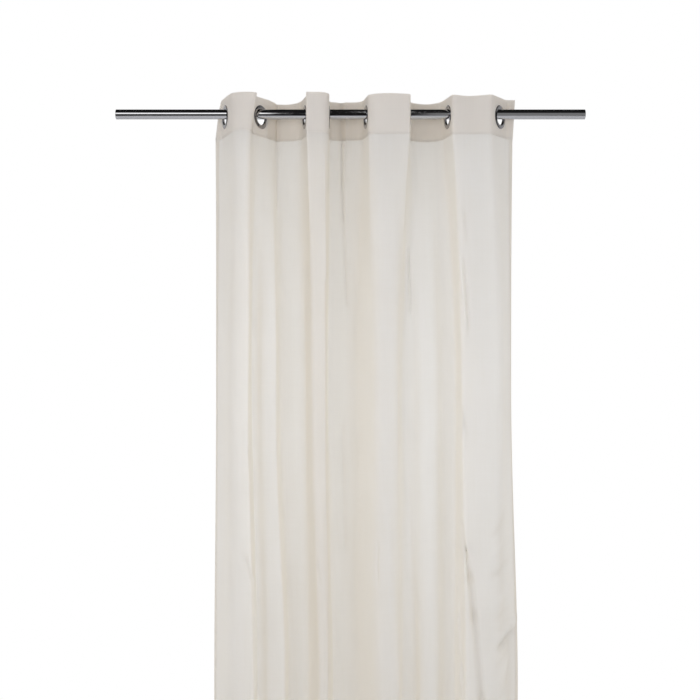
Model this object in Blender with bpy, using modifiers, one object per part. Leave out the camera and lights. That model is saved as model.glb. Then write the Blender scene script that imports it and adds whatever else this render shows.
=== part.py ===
"""A plain semi-sheer curtain panel, hung by eight eyelets on a straight rod.

Metres, +Z up. The origin is on the rod's axis, at the middle of its length. +X runs along the
rod, to the right for someone in front of the curtain, and that front is -Y.

The cloth is worked out as it hangs. Its folds are paths seen from above, and each path is as
long as the flat panel is wide, so the same thread is at the same share of every path. The
heading's path runs through the eyelets, and the cloth below changes from it to freer folds.
"""

import math
from typing import NamedTuple

import bmesh
import bpy
import numpy as np
from mathutils import Vector

MM = 0.001
GAP = 0.3 * MM  # between pieces that touch
COLLECTION = "curtain_panel_on_rod"

ROD_LENGTH = 1200 * MM
ROD_RADIUS = 12.5 * MM
ROD_END_BEVEL = 0.8 * MM
ROD_SIDES = 32

PANEL_WIDTH = 1400 * MM  # hemmed, laid flat
PANEL_DROP = 2500 * MM  # from the top edge to the bottom hem
HEADING_HEIGHT = 100 * MM
HEADING_THICKNESS = 2.4 * MM  # the turned-over cloth with the tape inside it
CLOTH_THICKNESS = 1.4 * MM
HEM_THICKNESS = 2.2 * MM
SIDE_HEM = 12 * MM
BOTTOM_HEM = 80 * MM
HEM_STEP = 2 * MM  # over which a hem's edge thins out to the single cloth

EYELET_SPACING = 183 * MM
EYELET_RADIUS = 30 * MM
EYELET_BORE = 20 * MM
BARREL_RADIUS = 22.5 * MM
FLANGE_RISE = 2.0 * MM
FLANGE_EDGE = 0.8 * MM
EYELET_SIDES = 20
FLAT_AT_EYELET = 31 * MM  # the eyelet holds the heading flat this far from its middle


class Eyelet(NamedTuple):
    """Where an eyelet hangs, and the angle at which the heading crosses the rod there."""

    x_mm: float
    angle_deg: float


class HeadingFold(NamedTuple):
    """The fold between two eyelets. Ease is the cloth on each side of a corner that takes part
    in the turn, and skew the right corner's depth over the left one's. Lean is how far a corner
    stands to the right of the line of its eyelet, and droop how far the middle of the fold hangs
    below the eyelets' line, both at the top edge and at the seam."""

    ease_left_mm: float
    ease_right_mm: float
    skew: float
    top_lean_left_mm: float
    top_lean_right_mm: float
    seam_lean_left_mm: float
    seam_lean_right_mm: float
    top_droop_mm: float
    seam_droop_mm: float

    def leans(self, level):
        """The leans of the left and the right corner at the top edge, level 0, or the seam."""
        if level:
            return self.seam_lean_left_mm * MM, self.seam_lean_right_mm * MM
        return self.top_lean_left_mm * MM, self.top_lean_right_mm * MM


class Fold(NamedTuple):
    """A fold of the free cloth, with a turn on its left and one on its right. It is stated at
    the middle and the low level. Depth is positive towards the back."""

    mid_left_mm: float
    mid_right_mm: float
    mid_depth_mm: float
    low_left_mm: float
    low_right_mm: float
    low_depth_mm: float
    ease_left_mm: float
    ease_right_mm: float


class Edge(NamedTuple):
    """A side edge of the cloth at the middle and the low level."""

    mid_x_mm: float
    mid_depth_mm: float
    low_x_mm: float
    low_depth_mm: float


EYELETS = (
    Eyelet(-320.4, 70),
    Eyelet(-230.0, 59),
    Eyelet(-116.8, 77),
    Eyelet(-55.4, 91),
    Eyelet(40.0, 80),
    Eyelet(150.8, 90),
    Eyelet(249.6, 77.5),
    Eyelet(381.9, 57.5),
)

# Front and back folds by turns, from the left.
HEADING_FOLDS = (
    HeadingFold(34, 22, 1.00, 5, 36, 5, 22, -2.0, -4.5),
    HeadingFold(10, 30, 1.00, 0, 0, 0, 0, 6.0, 1.5),
    HeadingFold(5, 30, 0.92, -10, 0, -10, 0, 0.5, 1.5),
    HeadingFold(18, 24, 1.00, 0, 0, 0, 0, 1.0, 0.0),
    HeadingFold(26, 8, 0.92, 18, 0, 18, 0, -1.5, 1.0),
    HeadingFold(22, 23, 1.00, 0, 0, 0, 0, 5.5, 4.0),
    HeadingFold(7, 9, 1.00, 0, 0, 0, 0, 3.0, 0.0),
)

# From the left: crests in front, at a negative depth, and troughs behind, by turns.
FOLDS = (
    Fold(-298, -255, -58, -300, -243, -54, 26, 9),
    Fold(-255, -240, 8, -240, -226, 10, 8, 8),
    Fold(-223, -190, -4, -211, -168, -3, 14, 8),
    Fold(-186, -120, 45, -160, -108, 50, 12, 24),
    Fold(-96, -62, -65, -80, -56, -60, 15, 8),
    Fold(-60, 8, 62, -48, 12, 66, 14, 30),
    Fold(67, 118, -50, 71, 121, -48, 24, 20),
    Fold(132, 164, 30, 134, 168, 38, 16, 12),
    Fold(182, 220, 18, 182, 224, 4, 16, 16),
    Fold(238, 272, 42, 242, 272, 46, 16, 12),
    Fold(281, 384, -40, 290, 370, -45, 9, 22),
)

LEFT_EDGE = Edge(-350, 50, -354, 46)
RIGHT_EDGE = Edge(418, 48, 436, 52)

# The heading's free ends turn away from the line of their eyelets, by these angles at the top
# edge and at the seam below.
LEFT_END_TURN_DEG = (-4, 30)
RIGHT_END_TURN_DEG = (57, 22)
BEND_EASE = 5 * MM  # at the edge of an eyelet's flat stretch

EYELET_MIDDLE_Z = -(EYELET_BORE - ROD_RADIUS - GAP)  # the bore's top rests on the rod
TOP_Z = EYELET_MIDDLE_Z + HEADING_HEIGHT / 2
SEAM_Z = TOP_Z - HEADING_HEIGHT
FREE_Z = SEAM_Z - 8 * MM  # below this the cloth's folds leave the heading's
HEM_Z = TOP_Z - PANEL_DROP
MID_Z = -700 * MM
LOW_Z = -1480 * MM
HEM_SPREAD = 0.45  # how much further the folds move from the low level to the hem
EDGE_OF_EYELETS = (PANEL_WIDTH - (len(EYELETS) - 1) * EYELET_SPACING) / 2

THREADS = np.linspace(0, PANEL_WIDTH, 1401)  # places across the flat panel
FLAT_STEP = 30 * MM  # between the meshes' columns where the cloth doesn't turn
TURN_STEP = math.radians(22)  # between them where it turns
PANEL_ROWS = (0, 8, 28, 62, 110, 170, 240, 320, 420, 540, 680, 860, 1080, 1340, 1640, 1960, 2240)
BISECTIONS = 40
TURN_SAMPLES = 12

CLOTH_COLOUR = (0.72, 0.70, 0.64)
HEADING_COLOUR = (0.66, 0.62, 0.55)
CHROME_COLOUR = (0.55, 0.55, 0.56)


def rounded(corners, eases):
    """The path through these corners, where each turn takes up its ease on either side."""
    corners = np.asarray(corners, float)
    path = [corners[0]]
    for before, corner, after, ease in zip(corners, corners[1:], corners[2:], eases):
        back = before - corner
        ahead = after - corner
        most_back = 0.48 * np.linalg.norm(back)
        most_ahead = 0.48 * np.linalg.norm(ahead)
        start = corner + back / np.linalg.norm(back) * min(ease, most_back)
        end = corner + ahead / np.linalg.norm(ahead) * min(ease, most_ahead)
        for t in np.linspace(0, 1, TURN_SAMPLES):
            path.append((1 - t) ** 2 * start + 2 * t * (1 - t) * corner + t**2 * end)
    path.append(corners[-1])
    return np.array(path)


def lengths_along(path):
    steps = np.linalg.norm(np.diff(path, axis=0), axis=1)
    return np.concatenate([[0], np.cumsum(steps)])


def at_threads(path):
    """The path's points at equal steps of the flat cloth."""
    along = lengths_along(path)
    flat = THREADS * along[-1] / PANEL_WIDTH
    return np.stack([np.interp(flat, along, path[:, axis]) for axis in (0, 1)], axis=1)


def deepened(path):
    """The path with its depths scaled until it is as long as the panel is wide."""
    low, high = 0.5, 2.0
    for _ in range(BISECTIONS):
        scale = (low + high) / 2
        if lengths_along(path * (1, scale))[-1] < PANEL_WIDTH:
            low = scale
        else:
            high = scale
    return path * (1, scale)


def crossing(index):
    """An eyelet's place in plan, and the direction in which the heading passes through it: to
    the front at the first, to the back at the second, and so on by turns."""
    eyelet = EYELETS[index]
    angle = math.radians(eyelet.angle_deg)
    sideways = -1 if index % 2 == 0 else 1
    return np.array([eyelet.x_mm * MM, 0]), np.array([math.cos(angle), sideways * math.sin(angle)])


def heading_bends(index, level):
    """The corners of a fold of the heading, and their eases. A side that leans bends first at
    the edge of its eyelet's flat stretch. The fold's depth is found by halving, so that the
    cloth from eyelet to eyelet is as long as their spacing."""
    fold = HEADING_FOLDS[index]
    lean_left, lean_right = fold.leans(level)
    left, ahead = crossing(index)
    right, onward = crossing(index + 1)
    low, high = 0, EYELET_SPACING / 2
    for _ in range(BISECTIONS):
        depth = (low + high) / 2
        corners = [
            left + ahead * depth / abs(ahead[1]) + (lean_left, 0),
            right - onward * depth * fold.skew / abs(onward[1]) + (lean_right, 0),
        ]
        eases = [fold.ease_left_mm * MM, fold.ease_right_mm * MM]
        if lean_left:
            corners.insert(0, left + ahead * (FLAT_AT_EYELET + BEND_EASE))
            eases.insert(0, BEND_EASE)
        if lean_right:
            corners.append(right - onward * (FLAT_AT_EYELET + BEND_EASE))
            eases.append(BEND_EASE)
        if lengths_along(rounded([left, *corners, right], eases))[-1] < EYELET_SPACING:
            low = depth
        else:
            high = depth
    return corners, eases


def heading_end(index, turn_deg, outward):
    """The heading's end beyond its first or last eyelet: the bend at the edge of the eyelet,
    and the cloth's corner. outward is -1 at the left end and 1 at the right one."""
    middle, ahead = crossing(index)
    bend = middle + outward * ahead * (FLAT_AT_EYELET + BEND_EASE)
    turn = math.radians(turn_deg)
    x, depth = outward * ahead
    flatter = np.array(
        [
            x * math.cos(turn) + outward * abs(depth) * math.sin(turn),
            depth * math.cos(turn) - abs(x) * math.sin(turn),
        ]
    )
    return bend, bend + flatter * (EDGE_OF_EYELETS - FLAT_AT_EYELET - BEND_EASE)


def heading_line(level):
    """The heading's folds at its top edge, level 0, or at its seam, level 1."""
    left_bend, left_end = heading_end(0, LEFT_END_TURN_DEG[level], -1)
    right_bend, right_end = heading_end(len(EYELETS) - 1, RIGHT_END_TURN_DEG[level], 1)
    corners = [left_end, left_bend]
    eases = [BEND_EASE]
    for index in range(len(HEADING_FOLDS)):
        fold_corners, fold_eases = heading_bends(index, level)
        corners += fold_corners
        eases += fold_eases
    corners += [right_bend, right_end]
    eases.append(BEND_EASE)
    missing = PANEL_WIDTH - lengths_along(rounded(corners, eases))[-1]
    for end, bend in ((0, 1), (-1, -2)):
        outward = (corners[end] - corners[bend]) / np.linalg.norm(corners[end] - corners[bend])
        corners[end] = corners[end] + outward * missing / 2
    return at_threads(rounded(corners, eases))


def free_line(spread):
    """The free cloth's folds: at the middle level with a spread of 0, at the low level with 1,
    and below that with more."""

    def moved(mid, low):
        return (mid + (low - mid) * spread) * MM

    def edge_point(edge):
        return moved(edge.mid_x_mm, edge.low_x_mm), moved(edge.mid_depth_mm, edge.low_depth_mm)

    corners = [edge_point(LEFT_EDGE)]
    eases = []
    for fold in FOLDS:
        depth = moved(fold.mid_depth_mm, fold.low_depth_mm)
        corners.append((moved(fold.mid_left_mm, fold.low_left_mm), depth))
        corners.append((moved(fold.mid_right_mm, fold.low_right_mm), depth))
        eases += [fold.ease_left_mm * MM, fold.ease_right_mm * MM]
    corners.append(edge_point(RIGHT_EDGE))
    return at_threads(deepened(rounded(corners, eases)))


def smooth(t):
    t = min(max(t, 0), 1)
    return t * t * (3 - 2 * t)


def line_at(z, lines):
    """The folds at a height. Below the seam the stiff heading lets go at once, then slower."""
    top, seam, mid, low, hem = lines
    if z >= FREE_Z:
        share = min((TOP_Z - z) / HEADING_HEIGHT, 1)
        return top + (seam - top) * share
    if z >= MID_Z:
        share = math.sin(math.pi / 2 * (FREE_Z - z) / (FREE_Z - MID_Z))
        return deepened(seam + (mid - seam) * share)
    if z >= LOW_Z:
        return deepened(mid + (low - mid) * smooth((MID_Z - z) / (MID_Z - LOW_Z)))
    return deepened(low + (hem - low) * smooth((LOW_Z - z) / (LOW_Z - HEM_Z)))


def droop(z):
    """How far each thread hangs below its own height: most in the middle of the heading's
    folds, and less and less down the panel."""
    down_heading = min((TOP_Z - z) / HEADING_HEIGHT, 1)
    fading = 1 - smooth((SEAM_Z - z) / (SEAM_Z - MID_Z))
    lowered = np.zeros_like(THREADS)
    free = EYELET_SPACING - 2 * FLAT_AT_EYELET
    for index, fold in enumerate(HEADING_FOLDS):
        start = EDGE_OF_EYELETS + index * EYELET_SPACING + FLAT_AT_EYELET
        share = np.clip((THREADS - start) / free, 0, 1)
        most = fold.top_droop_mm + (fold.seam_droop_mm - fold.top_droop_mm) * down_heading
        lowered += most * MM * fading * np.sin(math.pi * share) ** 2
    return lowered


def columns(lines):
    """Places across the flat cloth for the meshes' columns: at the side hems' stitching, at the
    edges of the flat stretch at each eyelet, and between them closer where the cloth turns."""
    stitches = (0, SIDE_HEM, SIDE_HEM + HEM_STEP)
    fixed = [*stitches, *(PANEL_WIDTH - stitch for stitch in stitches)]
    for index in range(len(EYELETS)):
        middle = EDGE_OF_EYELETS + index * EYELET_SPACING
        fixed += [middle - FLAT_AT_EYELET, middle + FLAT_AT_EYELET]
    effort = np.diff(THREADS) / FLAT_STEP
    for line in lines:
        step = np.diff(line, axis=0)
        direction = np.unwrap(np.arctan2(step[:, 1], step[:, 0]))
        effort[1:] += np.abs(np.diff(direction)) / TURN_STEP / len(lines)
    total = np.concatenate([[0], np.cumsum(effort)])
    fixed = np.sort(fixed)
    places = [fixed[:1]]
    for first, last in zip(fixed, fixed[1:]):
        steps = np.interp((first, last), THREADS, total)
        count = max(1, round(steps[1] - steps[0]))
        places.append(np.interp(np.linspace(*steps, count + 1)[1:], total, THREADS))
    return np.concatenate(places)


def hung_sheet(name, places, heights, lines):
    """A flat grid of the cloth, with its points moved to where they hang."""
    grid = bmesh.new()
    bmesh.ops.create_grid(grid, x_segments=len(places) - 1, y_segments=len(heights) - 1, size=1)
    grid.verts.ensure_lookup_table()
    for row, z in enumerate(heights):
        line = line_at(z, lines)
        x, y = (np.interp(places, THREADS, line[:, axis]) for axis in (0, 1))
        height = z - np.interp(places, THREADS, droop(z))
        for column, place in enumerate(zip(x, y, height)):
            grid.verts[row * len(places) + column].co = place
    mesh = bpy.data.meshes.new(name)
    grid.to_mesh(mesh)
    grid.free()
    sheet = bpy.data.objects.new(name, mesh)
    bpy.context.collection.objects.link(sheet)
    return sheet


def add_thickness(sheet, thickness):
    modifier = sheet.modifiers.new("Thickness", "SOLIDIFY")
    modifier.thickness = thickness
    modifier.offset = 0
    modifier.use_even_offset = True
    return modifier


def material(name, colour, roughness, metallic=0.0):
    made = bpy.data.materials.new(name)
    made.use_nodes = True
    shader = made.node_tree.nodes["Principled BSDF"]
    shader.inputs["Base Color"].default_value = (*colour, 1)
    shader.inputs["Roughness"].default_value = roughness
    shader.inputs["Metallic"].default_value = metallic
    return made


def shade_round(obj):
    obj.data.shade_smooth()
    obj.data.set_sharp_from_angle(angle=math.radians(40))


def make_rod(finish):
    bpy.ops.mesh.primitive_cylinder_add(
        vertices=ROD_SIDES, radius=ROD_RADIUS, depth=ROD_LENGTH, rotation=(0, math.pi / 2, 0)
    )
    rod = bpy.context.object
    rod.name = "rod"
    bevel = rod.modifiers.new("End edges", "BEVEL")
    bevel.width = ROD_END_BEVEL
    bevel.segments = 1
    rod.data.materials.append(finish)
    shade_round(rod)
    return rod


def make_panel(lines, places, cloth):
    """The single cloth from the heading's seam to the hem, with its turned side and bottom
    hems, which are thicker."""
    heights = [SEAM_Z - GAP - drop * MM for drop in PANEL_ROWS]
    heights += [HEM_Z + BOTTOM_HEM + HEM_STEP, HEM_Z + BOTTOM_HEM, HEM_Z]
    panel = hung_sheet("panel", places, heights, lines)
    doubled = panel.vertex_groups.new(name="doubled")
    in_side_hem = (places <= SIDE_HEM) | (places >= PANEL_WIDTH - SIDE_HEM)
    for row, z in enumerate(heights):
        turned = in_side_hem | (z <= HEM_Z + BOTTOM_HEM)
        doubled.add((np.nonzero(turned)[0] + row * len(places)).tolist(), 1, "REPLACE")
    thickness = add_thickness(panel, HEM_THICKNESS)
    thickness.vertex_group = doubled.name
    thickness.thickness_vertex_group = CLOTH_THICKNESS / HEM_THICKNESS
    panel.data.materials.append(cloth)
    panel.data.shade_smooth()
    return panel


def stand_in_eyelet(obj, index):
    """Puts a turned piece on an eyelet's axis, which points out of the cloth's front face."""
    middle, ahead = crossing(index)
    obj.location = (middle[0], middle[1], EYELET_MIDDLE_Z)
    facing = Vector((ahead[1], -ahead[0], 0))
    obj.rotation_mode = "QUATERNION"
    obj.rotation_quaternion = facing.to_track_quat("Z", "Y")


def make_heading(lines, places, cloth, cutters):
    """The stiff strip that holds the eyelets, with a round hole for each."""
    heading = hung_sheet("heading_band", places, (TOP_Z, EYELET_MIDDLE_Z, SEAM_Z), lines)
    add_thickness(heading, HEADING_THICKNESS)
    for index in range(len(EYELETS)):
        bpy.ops.mesh.primitive_cylinder_add(
            vertices=EYELET_SIDES, radius=BARREL_RADIUS + GAP, depth=4 * HEADING_THICKNESS
        )
        cutter = bpy.context.object
        cutter.name = f"hole_{index + 1}"
        cutter.hide_render = True
        cutter.display_type = "WIRE"
        stand_in_eyelet(cutter, index)
        bpy.context.collection.objects.unlink(cutter)
        cutters.objects.link(cutter)
        cut = heading.modifiers.new(cutter.name, "BOOLEAN")
        cut.operation = "DIFFERENCE"
        cut.solver = "EXACT"
        cut.object = cutter
    heading.data.materials.append(cloth)
    return heading


def turned(name, profile):
    """A ring turned about Z from a closed profile of (radius, height) points, which runs down
    its outer side."""
    outline = bmesh.new()
    points = [outline.verts.new((radius, 0, height)) for radius, height in profile]
    for start, end in zip(points, points[1:] + points[:1]):
        outline.edges.new((start, end))
    mesh = bpy.data.meshes.new(name)
    outline.to_mesh(mesh)
    outline.free()
    ring = bpy.data.objects.new(name, mesh)
    bpy.context.collection.objects.link(ring)
    screw = ring.modifiers.new("Turned", "SCREW")
    screw.axis = "Z"
    screw.steps = EYELET_SIDES
    screw.render_steps = EYELET_SIDES
    screw.use_merge_vertices = True
    screw.merge_threshold = 0.0001
    screw.use_smooth_shade = True
    return ring


def make_eyelet(index, finish):
    """An eyelet's two halves: a front flange with the barrel that lines the hole, and a back
    washer round the barrel's end."""
    seat = HEADING_THICKNESS / 2 + GAP
    crown = seat + FLANGE_RISE
    rim = seat + FLANGE_EDGE
    crown_radius = (EYELET_BORE + EYELET_RADIUS) / 2
    lip = 0.8 * MM
    front = turned(
        f"eyelet_{index + 1}_front",
        (
            (EYELET_BORE + lip, crown - lip),
            (crown_radius - lip, crown),
            (EYELET_RADIUS - lip, rim),
            (EYELET_RADIUS, seat),
            (BARREL_RADIUS, seat),
            (BARREL_RADIUS, -crown),
            (EYELET_BORE + 1.5 * lip, -crown),
            (EYELET_BORE, 0),
        ),
    )
    back = turned(
        f"eyelet_{index + 1}_back",
        (
            (BARREL_RADIUS + GAP, -seat),
            (EYELET_RADIUS, -seat),
            (EYELET_RADIUS - lip, -rim),
            (BARREL_RADIUS + GAP + lip, -crown),
        ),
    )
    for half in (front, back):
        stand_in_eyelet(half, index)
        half.data.materials.append(finish)


def new_collection(name):
    made = bpy.data.collections.new(name)
    bpy.context.scene.collection.children.link(made)
    return made


def main():
    for obj in list(bpy.data.objects):
        bpy.data.objects.remove(obj)
    cutters = new_collection("cutters")
    new_collection(COLLECTION)
    layers = bpy.context.view_layer.layer_collection
    bpy.context.view_layer.active_layer_collection = layers.children[COLLECTION]

    mid, low, hem = (free_line(spread) for spread in (0, 1, 1 + HEM_SPREAD))
    lines = heading_line(0), heading_line(1), mid, low, hem
    chrome = material("chrome", CHROME_COLOUR, 0.15, 1.0)
    make_rod(chrome)
    places = columns(lines[1:4])
    make_panel(lines, places, material("semi_sheer_cloth", CLOTH_COLOUR, 0.9))
    make_heading(lines, places, material("heading_cloth", HEADING_COLOUR, 0.9), cutters)
    for index in range(len(EYELETS)):
        make_eyelet(index, chrome)


main()
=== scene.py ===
# %% [markdown]
# # An eyelet curtain panel on its rod
#
# This lesson dresses a fixed frame, the solids of a semi-sheer curtain that hangs by eight
# eyelets, so that it looks like the real thing. Everything is in metres with +Z up. The origin
# is on the rod's axis at the middle of its length, and the room side of the curtain is -Y.

# %% Load the frame
import functools
import math
from typing import NamedTuple

import bpy
import numpy as np
from mathutils import Matrix, Vector


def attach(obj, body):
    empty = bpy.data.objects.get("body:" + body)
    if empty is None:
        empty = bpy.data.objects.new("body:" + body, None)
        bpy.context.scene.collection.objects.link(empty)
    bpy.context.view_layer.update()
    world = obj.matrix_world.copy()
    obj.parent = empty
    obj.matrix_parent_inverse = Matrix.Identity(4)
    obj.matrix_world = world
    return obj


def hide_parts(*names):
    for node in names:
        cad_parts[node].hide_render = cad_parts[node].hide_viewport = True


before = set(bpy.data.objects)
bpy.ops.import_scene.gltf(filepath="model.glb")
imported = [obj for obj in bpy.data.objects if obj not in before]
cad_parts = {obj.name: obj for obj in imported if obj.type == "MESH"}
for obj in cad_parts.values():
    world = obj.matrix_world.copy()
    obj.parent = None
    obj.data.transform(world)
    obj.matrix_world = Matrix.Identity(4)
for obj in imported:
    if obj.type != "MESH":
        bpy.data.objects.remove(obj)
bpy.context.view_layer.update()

MM = 0.001

# %% [markdown]
# ## The camera
#
# The picture looks straight at the curtain, level, from about three metres: the top edge of the
# back folds stands lower than that of the front folds by the amount that such a distance gives.
# The lens follows from the distance and from what the picture shows across at the rod.

# %% Camera
CAMERA_DISTANCE = 3.0
CAMERA_HEIGHT = -0.603
CAMERA_SIDE = -1.3 * MM
SHOWN_ACROSS = 1.792
SENSOR_MM = 36

camera_data = bpy.data.cameras.new("camera")
camera_data.sensor_width = SENSOR_MM
camera_data.lens = SENSOR_MM * CAMERA_DISTANCE / SHOWN_ACROSS
camera = bpy.data.objects.new("camera", camera_data)
camera.location = (CAMERA_SIDE, -CAMERA_DISTANCE, CAMERA_HEIGHT)
camera.rotation_euler = (math.radians(90), 0, 0)
bpy.context.scene.collection.objects.link(camera)
bpy.context.scene.camera = camera
bpy.context.scene.view_settings.view_transform = "Standard"
print("lens:", round(camera_data.lens, 1), "mm")

# %% [markdown]
# ## How a hung cloth is described
#
# A curtain is a flat rectangle that only bends. Seen from above, each thread that runs across it
# is a path of the same length, however the folds lie. So the folds could be simulated, but a
# simulation would not give this curtain's own uneven folds. Here each path is stated by its
# folds instead, then drawn at the full length of the cloth, so that a place on the flat cloth is
# at the same share of every path.
#
# The first table has the eyelets. The heading crosses the rod at each, to the front and to the
# back by turns.

# %% Sizes of the cloth and its eyelets
ROD_RADIUS = 12.5 * MM
PANEL_WIDTH = 1400 * MM
PANEL_DROP = 2500 * MM
HEADING_HEIGHT = 100 * MM
EYELET_SPACING = 183 * MM
EYELET_RADIUS = 30 * MM
EYELET_BORE = 20 * MM
FLAT_AT_EYELET = 31 * MM  # the eyelet holds the cloth flat this far from its middle
BEND_EASE = 5 * MM  # the cloth that a bend at the edge of that stretch takes up

EYELET_Z = -(EYELET_BORE - ROD_RADIUS - 0.3 * MM)  # the bore's top rests on the rod
TOP_Z = EYELET_Z + HEADING_HEIGHT / 2
SEAM_Z = TOP_Z - HEADING_HEIGHT
FREE_Z = SEAM_Z - 8 * MM  # below this the cloth's folds leave the heading's
MID_Z = -700 * MM
LOW_Z = -1480 * MM
HEM_Z = TOP_Z - PANEL_DROP
HEM_SPREAD = 0.45  # how much further the folds move from the low level to the hem
THREADS = np.linspace(0, PANEL_WIDTH, 1401)


class Eyelet(NamedTuple):
    """Where an eyelet hangs, and the angle at which the heading crosses the rod there."""

    x_mm: float
    angle_deg: float


EYELETS = (
    Eyelet(-320.4, 70),
    Eyelet(-230.0, 59),
    Eyelet(-116.8, 77),
    Eyelet(-55.4, 91),
    Eyelet(40.0, 80),
    Eyelet(150.8, 90),
    Eyelet(249.6, 77.5),
    Eyelet(381.9, 57.5),
)
EDGE_OF_EYELETS = (PANEL_WIDTH - (len(EYELETS) - 1) * EYELET_SPACING) / 2


def crossing(index):
    """An eyelet's place in plan, and the direction in which the heading passes through it."""
    eyelet = EYELETS[index]
    angle = math.radians(eyelet.angle_deg)
    sideways = -1 if index % 2 == 0 else 1
    return np.array([eyelet.x_mm * MM, 0]), np.array([math.cos(angle), sideways * math.sin(angle)])


print("seam at", round(SEAM_Z, 4), "and hem at", round(HEM_Z, 4))

# %% [markdown]
# A path is a line through corners. A real corner in cloth is never sharp: the cloth on both
# sides of it, its ease, takes part in the turn. A quadratic Bezier curve from ease to ease makes
# a turn that starts and ends without a kink, which reads as cloth, where an arc reads as tube.

# %% Paths with eased corners
TURN_SAMPLES = 12
BISECTIONS = 40
MOST_EASE = 0.48  # the share of a straight stretch that one turn may take up


def rounded(corners, eases):
    """The path through these corners, where each turn takes up its ease on either side."""
    corners = np.asarray(corners, float)
    path = [corners[0]]
    for before, corner, after, ease in zip(corners, corners[1:], corners[2:], eases):
        back = before - corner
        ahead = after - corner
        most_back = MOST_EASE * np.linalg.norm(back)
        most_ahead = MOST_EASE * np.linalg.norm(ahead)
        start = corner + back / np.linalg.norm(back) * min(ease, most_back)
        end = corner + ahead / np.linalg.norm(ahead) * min(ease, most_ahead)
        for t in np.linspace(0, 1, TURN_SAMPLES):
            path.append((1 - t) ** 2 * start + 2 * t * (1 - t) * corner + t**2 * end)
    path.append(corners[-1])
    return np.array(path)


def lengths_along(path):
    steps = np.linalg.norm(np.diff(path, axis=0), axis=1)
    return np.concatenate([[0], np.cumsum(steps)])


def at_threads(path):
    """The path's points at equal steps of the flat cloth."""
    along = lengths_along(path)
    flat = THREADS * along[-1] / PANEL_WIDTH
    return np.stack([np.interp(flat, along, path[:, axis]) for axis in (0, 1)], axis=1)


def deepened(path):
    """The path with its depths scaled until it is as long as the panel is wide."""
    low, high = 0.5, 2.0
    for _ in range(BISECTIONS):
        scale = (low + high) / 2
        if lengths_along(path * (1, scale))[-1] < PANEL_WIDTH:
            low = scale
        else:
            high = scale
    return path * (1, scale)


print("a thread each", round((THREADS[1] - THREADS[0]) / MM, 2), "mm")

# %% [markdown]
# ## The heading's folds
#
# Between two eyelets the stiff heading makes one fold, in front of the rod or behind it. Its
# depth isn't chosen: the cloth from eyelet to eyelet is as long as their spacing, and halving
# finds the depth that uses just that much. Only the corners' roundness, lean and droop are read
# off the picture.

# %% The heading's folds, front and back by turns
class HeadingFold(NamedTuple):
    """Ease is the cloth on each side of a corner that takes part in the turn, and skew the right
    corner's depth over the left one's. Lean is how far a corner stands to the right of the line
    of its eyelet, and droop how far the fold's middle hangs below the eyelets' line."""

    ease_left_mm: float
    ease_right_mm: float
    skew: float
    top_lean_left_mm: float
    top_lean_right_mm: float
    seam_lean_left_mm: float
    seam_lean_right_mm: float
    top_droop_mm: float
    seam_droop_mm: float

    def leans(self, level):
        """The leans of the left and the right corner at the top edge, level 0, or the seam."""
        if level:
            return self.seam_lean_left_mm * MM, self.seam_lean_right_mm * MM
        return self.top_lean_left_mm * MM, self.top_lean_right_mm * MM


HEADING_FOLDS = (
    HeadingFold(34, 22, 1.00, 5, 36, 5, 22, -2.0, -4.5),
    HeadingFold(10, 30, 1.00, 0, 0, 0, 0, 6.0, 1.5),
    HeadingFold(5, 30, 0.92, -10, 0, -10, 0, 0.5, 1.5),
    HeadingFold(18, 24, 1.00, 0, 0, 0, 0, 1.0, 0.0),
    HeadingFold(26, 8, 0.92, 18, 0, 18, 0, -1.5, 1.0),
    HeadingFold(22, 23, 1.00, 0, 0, 0, 0, 5.5, 4.0),
    HeadingFold(7, 9, 1.00, 0, 0, 0, 0, 3.0, 0.0),
)
LEFT_END_TURN_DEG = (-4, 30)  # how the free ends turn away, at the top edge and at the seam
RIGHT_END_TURN_DEG = (57, 22)


def heading_bends(index, level):
    """The corners of a fold of the heading, and their eases."""
    fold = HEADING_FOLDS[index]
    lean_left, lean_right = fold.leans(level)
    left, ahead = crossing(index)
    right, onward = crossing(index + 1)
    low, high = 0, EYELET_SPACING / 2
    for _ in range(BISECTIONS):
        depth = (low + high) / 2
        corners = [
            left + ahead * depth / abs(ahead[1]) + (lean_left, 0),
            right - onward * depth * fold.skew / abs(onward[1]) + (lean_right, 0),
        ]
        eases = [fold.ease_left_mm * MM, fold.ease_right_mm * MM]
        if lean_left:
            corners.insert(0, left + ahead * (FLAT_AT_EYELET + BEND_EASE))
            eases.insert(0, BEND_EASE)
        if lean_right:
            corners.append(right - onward * (FLAT_AT_EYELET + BEND_EASE))
            eases.append(BEND_EASE)
        if lengths_along(rounded([left, *corners, right], eases))[-1] < EYELET_SPACING:
            low = depth
        else:
            high = depth
    return corners, eases


def heading_end(index, turn_deg, outward):
    """The bend beside the first or last eyelet and the cloth's corner beyond it. outward is -1
    at the left end and 1 at the right one."""
    middle, ahead = crossing(index)
    bend = middle + outward * ahead * (FLAT_AT_EYELET + BEND_EASE)
    turn = math.radians(turn_deg)
    x, depth = outward * ahead
    flatter = np.array(
        [
            x * math.cos(turn) + outward * abs(depth) * math.sin(turn),
            depth * math.cos(turn) - abs(x) * math.sin(turn),
        ]
    )
    return bend, bend + flatter * (EDGE_OF_EYELETS - FLAT_AT_EYELET - BEND_EASE)


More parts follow.
